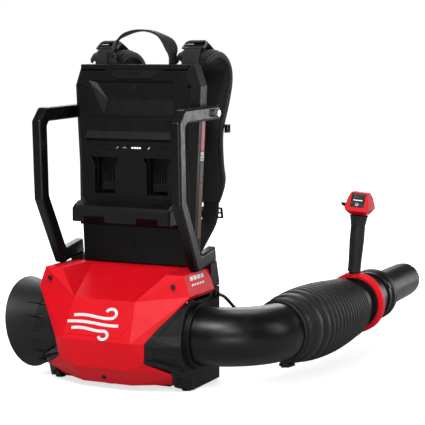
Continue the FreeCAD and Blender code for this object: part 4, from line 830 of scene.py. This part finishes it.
def make_side_label():
    """Coloured bands on the right edge of the plate, with grey lines where text would be."""
    bottom = Vector((0.116, 0, 0.217))
    top = Vector((0.132, 0, 0.552))
    along = (top - bottom).normalized()
    forward = Vector((0, 1, 0))
    normal = forward.cross(along)
    bands = ((0.268, 0.372, AMBER_INK), (0.374, 0.412, GREY_INK), (0.414, 0.431, WHITE_INK),
             (0.433, 0.500, RED_INK))
    pieces = []
    for z0, z1, material in bands:
        share0, share1 = (z0 - bottom.z) / along.z, (z1 - bottom.z) / along.z
        a, b = bottom + along * share0, bottom + along * share1
        length = (b - a).length
        origin = a + normal * 0.0002 + forward * -0.0215
        outline = [(0, 0.001), (0.001, 0), (0.0115, 0), (0.0125, 0.001), (0.0125, length - 0.001),
                   (0.0115, length),
                   (0.001, length), (0, length - 0.001)]
        pieces.append(plate_piece("band", outline, origin, forward, along, 0.0003, material))
        for k in range(int(length / 0.006)):
            if material in (AMBER_INK, WHITE_INK):
                line = [(0.0022, 0.003 + 0.006 * k), (0.0102 - 0.0025 * (k % 3), 0.003 + 0.006 * k),
                        (0.0102 - 0.0025 * (k % 3), 0.0052 + 0.006 * k), (0.0022, 0.0052 + 0.006 * k)]
                raised = origin + normal * 0.0003
                pieces.append(plate_piece("line", line, raised, forward, along, 0.0001, GREY_INK))
    label = join_pieces("side_label", pieces)
    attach(label, "frame")


def on_cover(spot):
    """Point of the fan cover nearest to spot, its outward normal, and the level and rising directions."""
    cover = NODES["fan_cover"]
    _, point, normal, _ = cover.closest_point_on_mesh(cover.matrix_world.inverted() @ spot)
    point, normal = cover.matrix_world @ point, (cover.matrix_world.to_3x3() @ normal).normalized()
    v = (Vector((0, 0, 1)) - normal * normal.z).normalized()
    return point, normal, v.cross(normal), v


def make_badge():
    """Generic airflow mark on the front of the cover: three curling strokes."""
    origin, normal, u, v = on_cover(BADGE_SPOT)
    strokes = []
    lines = ((0.011, -0.036, 0.020, 0.0078), (0.0, -0.044, 0.034, 0.0), (-0.010, -0.036, 0.014, -0.0068))
    for height, start, end, curl in lines:
        path = [(start + (end - start) * k / 12, height + 0.0016 * math.sin(k / 2.2)) for k in range(13)]
        if curl:
            tip_x, tip_y = path[-1]
            for k in range(1, 10):
                angle = math.radians(28 * k)
                path.append((tip_x + abs(curl) * math.sin(angle), tip_y + curl * (1 - math.cos(angle))))
        path = [(1.35 * x, 1.15 * y) for x, y in path]
        outline = stroke(path, 0.0054)
        strokes.append(plate_piece("stroke", outline, origin + normal * 0.0002, u, v, 0.0005, WHITE_INK))
    badge = join_pieces("airflow_mark", strokes)
    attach(badge, "frame")


def make_cover_marks():
    """Two short rows of plain bars on the cover's right shoulder facet."""
    point, normal, u, v = on_cover(SHOULDER_MARK)
    pieces = []
    rows = ((0.001, 0.0075, (0.012, 0.011, 0.012, 0.009)),
            (-0.009, 0.0035, (0.008, 0.005, 0.008, 0.006, 0.008)))
    for row, height, lengths in rows:
        x = -0.028
        for length in lengths:
            end, top, slant = x + length, row + height, 0.002
            outline = [(x, row), (end, row), (end + slant, top), (x + slant, top)]
            pieces.append(plate_piece("bar", outline, point + normal * 0.0002, u, v, 0.0003, WHITE_INK))
            x += length + 0.0035
    marks = join_pieces("shoulder_marks", pieces)
    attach(marks, "frame")


def make_dock_marks():
    """Small charge marks on the indicator window: bars and arrows."""
    low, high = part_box("indicator_lens")
    y, z = low.y - 0.0002, (low.z + high.z) / 2
    pieces = []
    shapes = [(-0.030, [(0, -0.0016), (0.0012, -0.0016), (0.0042, 0.0018), (0.003, 0.0018)]),
              (-0.016, [(0, -0.0012), (0.0035, 0.0012), (0.007, -0.0012), (0.007, -0.0004), (0.0035, 0.002),
                        (0, -0.0004)]),
              (0.036, [(0, -0.0018), (0.0018, -0.0018), (0.005, 0.002), (0.0032, 0.002)])]
    for x, outline in shapes:
        pieces.append(plate_piece("mark", outline, (x, y, z), (1, 0, 0), (0, 0, 1), 0.0002, WHITE_INK))
    for k in range(4):
        outline = [(0, -0.0014), (0.0042, -0.0014), (0.0042, 0.0014), (0, 0.0014)]
        spot = (0.002 + 0.0052 * k, y, z)
        pieces.append(plate_piece("mark", outline, spot, (1, 0, 0), (0, 0, 1), 0.0002, LIT_WHITE))
    marks = join_pieces("charge_marks", pieces)
    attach(marks, "frame")


def make_display():
    """Speed bars, icons and power ring on the handle's display."""
    panel = NODES["display_panel"]
    face = max(panel.data.polygons, key=lambda p: p.area * max(0.0, -p.normal.y))
    normal = face.normal.normalized()
    total = Vector((0, 0, 0))
    area = 0.0
    for polygon in panel.data.polygons:
        if polygon.normal.dot(normal) > 0.99:
            total += Vector(polygon.center) * polygon.area
            area += polygon.area
    centre = total / area
    lean = math.radians(4.5)
    u = Vector((math.cos(lean), 0, -math.sin(lean)))
    u = (u - normal * u.dot(normal)).normalized()
    v = normal.cross(u)
    pieces = []
    for row, count in ((0.0108, 5), (0.0052, 5)):
        for k in range(count):
            x = -0.0095 + 0.0042 * k
            end, low, high = x + 0.0026, row - 0.0006, row + 0.0006
            outline = [(x, low), (end, low), (end, high), (x, high)]
            pieces.append(plate_piece("tick", outline, centre + normal * 0.0001, u, v, 0.0002, GREY_INK))
    for k in range(4):
        x = -0.0095 + 0.005 * k
        outline = [(x, -0.0018), (x + 0.004, -0.0018), (x + 0.004, 0.0002), (x, 0.0002)]
        pieces.append(plate_piece("bar", outline, centre + normal * 0.0001, u, v, 0.0002, LIT_WHITE))
    display = join_pieces("display_marks", pieces)
    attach(display, "handle")
    button_low, button_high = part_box("power_button")
    middle = (button_low + button_high) / 2
    top = max((Vector(q.co) - middle).dot(normal) for q in NODES["power_button"].data.vertices)
    origin = middle + normal * (top + 0.0001)
    turns = [math.radians(a) for a in range(40, 321, 20)]
    arc = [(0.0027 * math.sin(a), 0.0027 * math.cos(a)) for a in turns]
    ring = plate_piece("ring", stroke(arc, 0.0009), origin, u, v, 0.0002, LIT_WHITE)
    outline = [(-0.0004, 0.0008), (0.0004, 0.0008), (0.0004, 0.0036), (-0.0004, 0.0036)]
    bar = plate_piece("bar", outline, origin, u, v, 0.0002, LIT_WHITE)
    mark = join_pieces("power_mark", [ring, bar])
    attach(mark, "power")


make_bellows()
make_cable()
make_trigger_spring()
make_shoulder_pad("left", "left_shoulder_pad")
make_shoulder_pad("right", "right_shoulder_pad")
make_back_pad()
make_straps()
make_carry_loop()
make_side_label()
make_badge()
make_dock_marks()
make_cover_marks()
make_display()


# ---- stage --------------------------------------------------------------------------------------
def make_stage():
    size = 80.0
    corners = [(-size, -size, 0), (size, -size, 0), (size, size, 0), (-size, size, 0)]
    floor = new_piece("floor", corners, [(0, 1, 2, 3)], studio_paper())
    floor.location.z = min(0.0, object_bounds()[0][2]) - 0.0005


def studio_paper():
    """Pale paper. The view sees it evenly lit; the object receives only a weak bounce from it."""
    graph = Graph("studio_paper")
    tone = graph.noise(place(graph), 3.0, 3.0)
    seen = graph.add("ShaderNodeLightPath").outputs["Is Camera Ray"]
    pale = graph.mix(graph.ramp(tone, 0.3, 0.7, 0.0, 0.3), rgb(0.9, 0.9, 0.9), rgb(0.87, 0.87, 0.87))
    base = graph.mix(seen, rgb(0.55, 0.55, 0.55), pale)
    distance = graph.add("ShaderNodeCameraData").outputs["View Distance"]
    glow = graph.ramp(distance, 2.6, 6.5, 0.72, 1.0)
    return graph.finish(Base_Color=base, Roughness=0.9, Specular_IOR_Level=0.0, Emission_Color=rgb(1, 1, 1),
                        Emission_Strength=graph.maths("MULTIPLY", seen, glow))


def area_light(name, location, target, size, power, colour=(1, 1, 1)):
    light = bpy.data.lights.new(name, "AREA")
    light.shape = "RECTANGLE"
    light.size, light.size_y = size
    light.energy = power
    light.color = colour
    obj = bpy.data.objects.new(name, light)
    obj.location = location
    obj.rotation_euler = (Vector(target) - Vector(location)).to_track_quat("-Z", "Y").to_euler()
    bpy.context.scene.collection.objects.link(obj)


def make_light():
    world = bpy.data.worlds.new("studio")
    world.use_nodes = True
    tree = world.node_tree
    background = tree.nodes["Background"]
    background.inputs[0].default_value = (1, 1, 1, 1)
    seen = tree.nodes.new("ShaderNodeLightPath").outputs["Is Camera Ray"]
    strength = tree.nodes.new("ShaderNodeMapRange")
    strength.inputs[3].default_value = 0.08
    strength.inputs[4].default_value = 1.0
    tree.links.new(seen, strength.inputs[0])
    tree.links.new(strength.outputs[0], background.inputs[1])
    bpy.context.scene.world = world
    middle = (0.08, 0.1, 0.32)
    area_light("key", (0.1, -2.3, 2.9), middle, (1.8, 1.0), 85)
    area_light("fill", (1.9, -3.2, 0.12), middle, (1.8, 0.2), 22)
    area_light("front", (1.5, -2.9, 2.3), middle, (1.2, 0.4), 26)
    area_light("side", (3.0, 0.3, 1.5), middle, (0.4, 1.6), 16)
    area_light("top", (-0.5, 1.4, 2.6), middle, (1.6, 1.2), 24)
    area_light("rim", (1.7, 3.0, 0.6), middle, (0.5, 1.4), 18)
    area_light("back", (-1.4, 3.4, 2.0), middle, (2.0, 1.6), 45)


def make_camera():
    """Looks 25 degrees round from the rear and a little down."""
    camera = bpy.data.cameras.new("view")
    camera.lens = 36.0 * 1380.0 / 425.0
    camera.sensor_width = 36.0
    camera.clip_end = 60.0
    obj = bpy.data.objects.new("view", camera)
    obj.location = (1.2215, -2.319, 0.600)
    round_angle, down = math.radians(25.0), math.radians(6.31)
    level = math.cos(down)
    aim = Vector((-math.sin(round_angle) * level, math.cos(round_angle) * level, -math.sin(down)))
    obj.rotation_euler = aim.to_track_quat("-Z", "Y").to_euler()
    bpy.context.scene.collection.objects.link(obj)
    bpy.context.scene.camera = obj


make_stage()
make_light()
make_camera()
bpy.context.scene.view_settings.view_transform = "Standard"
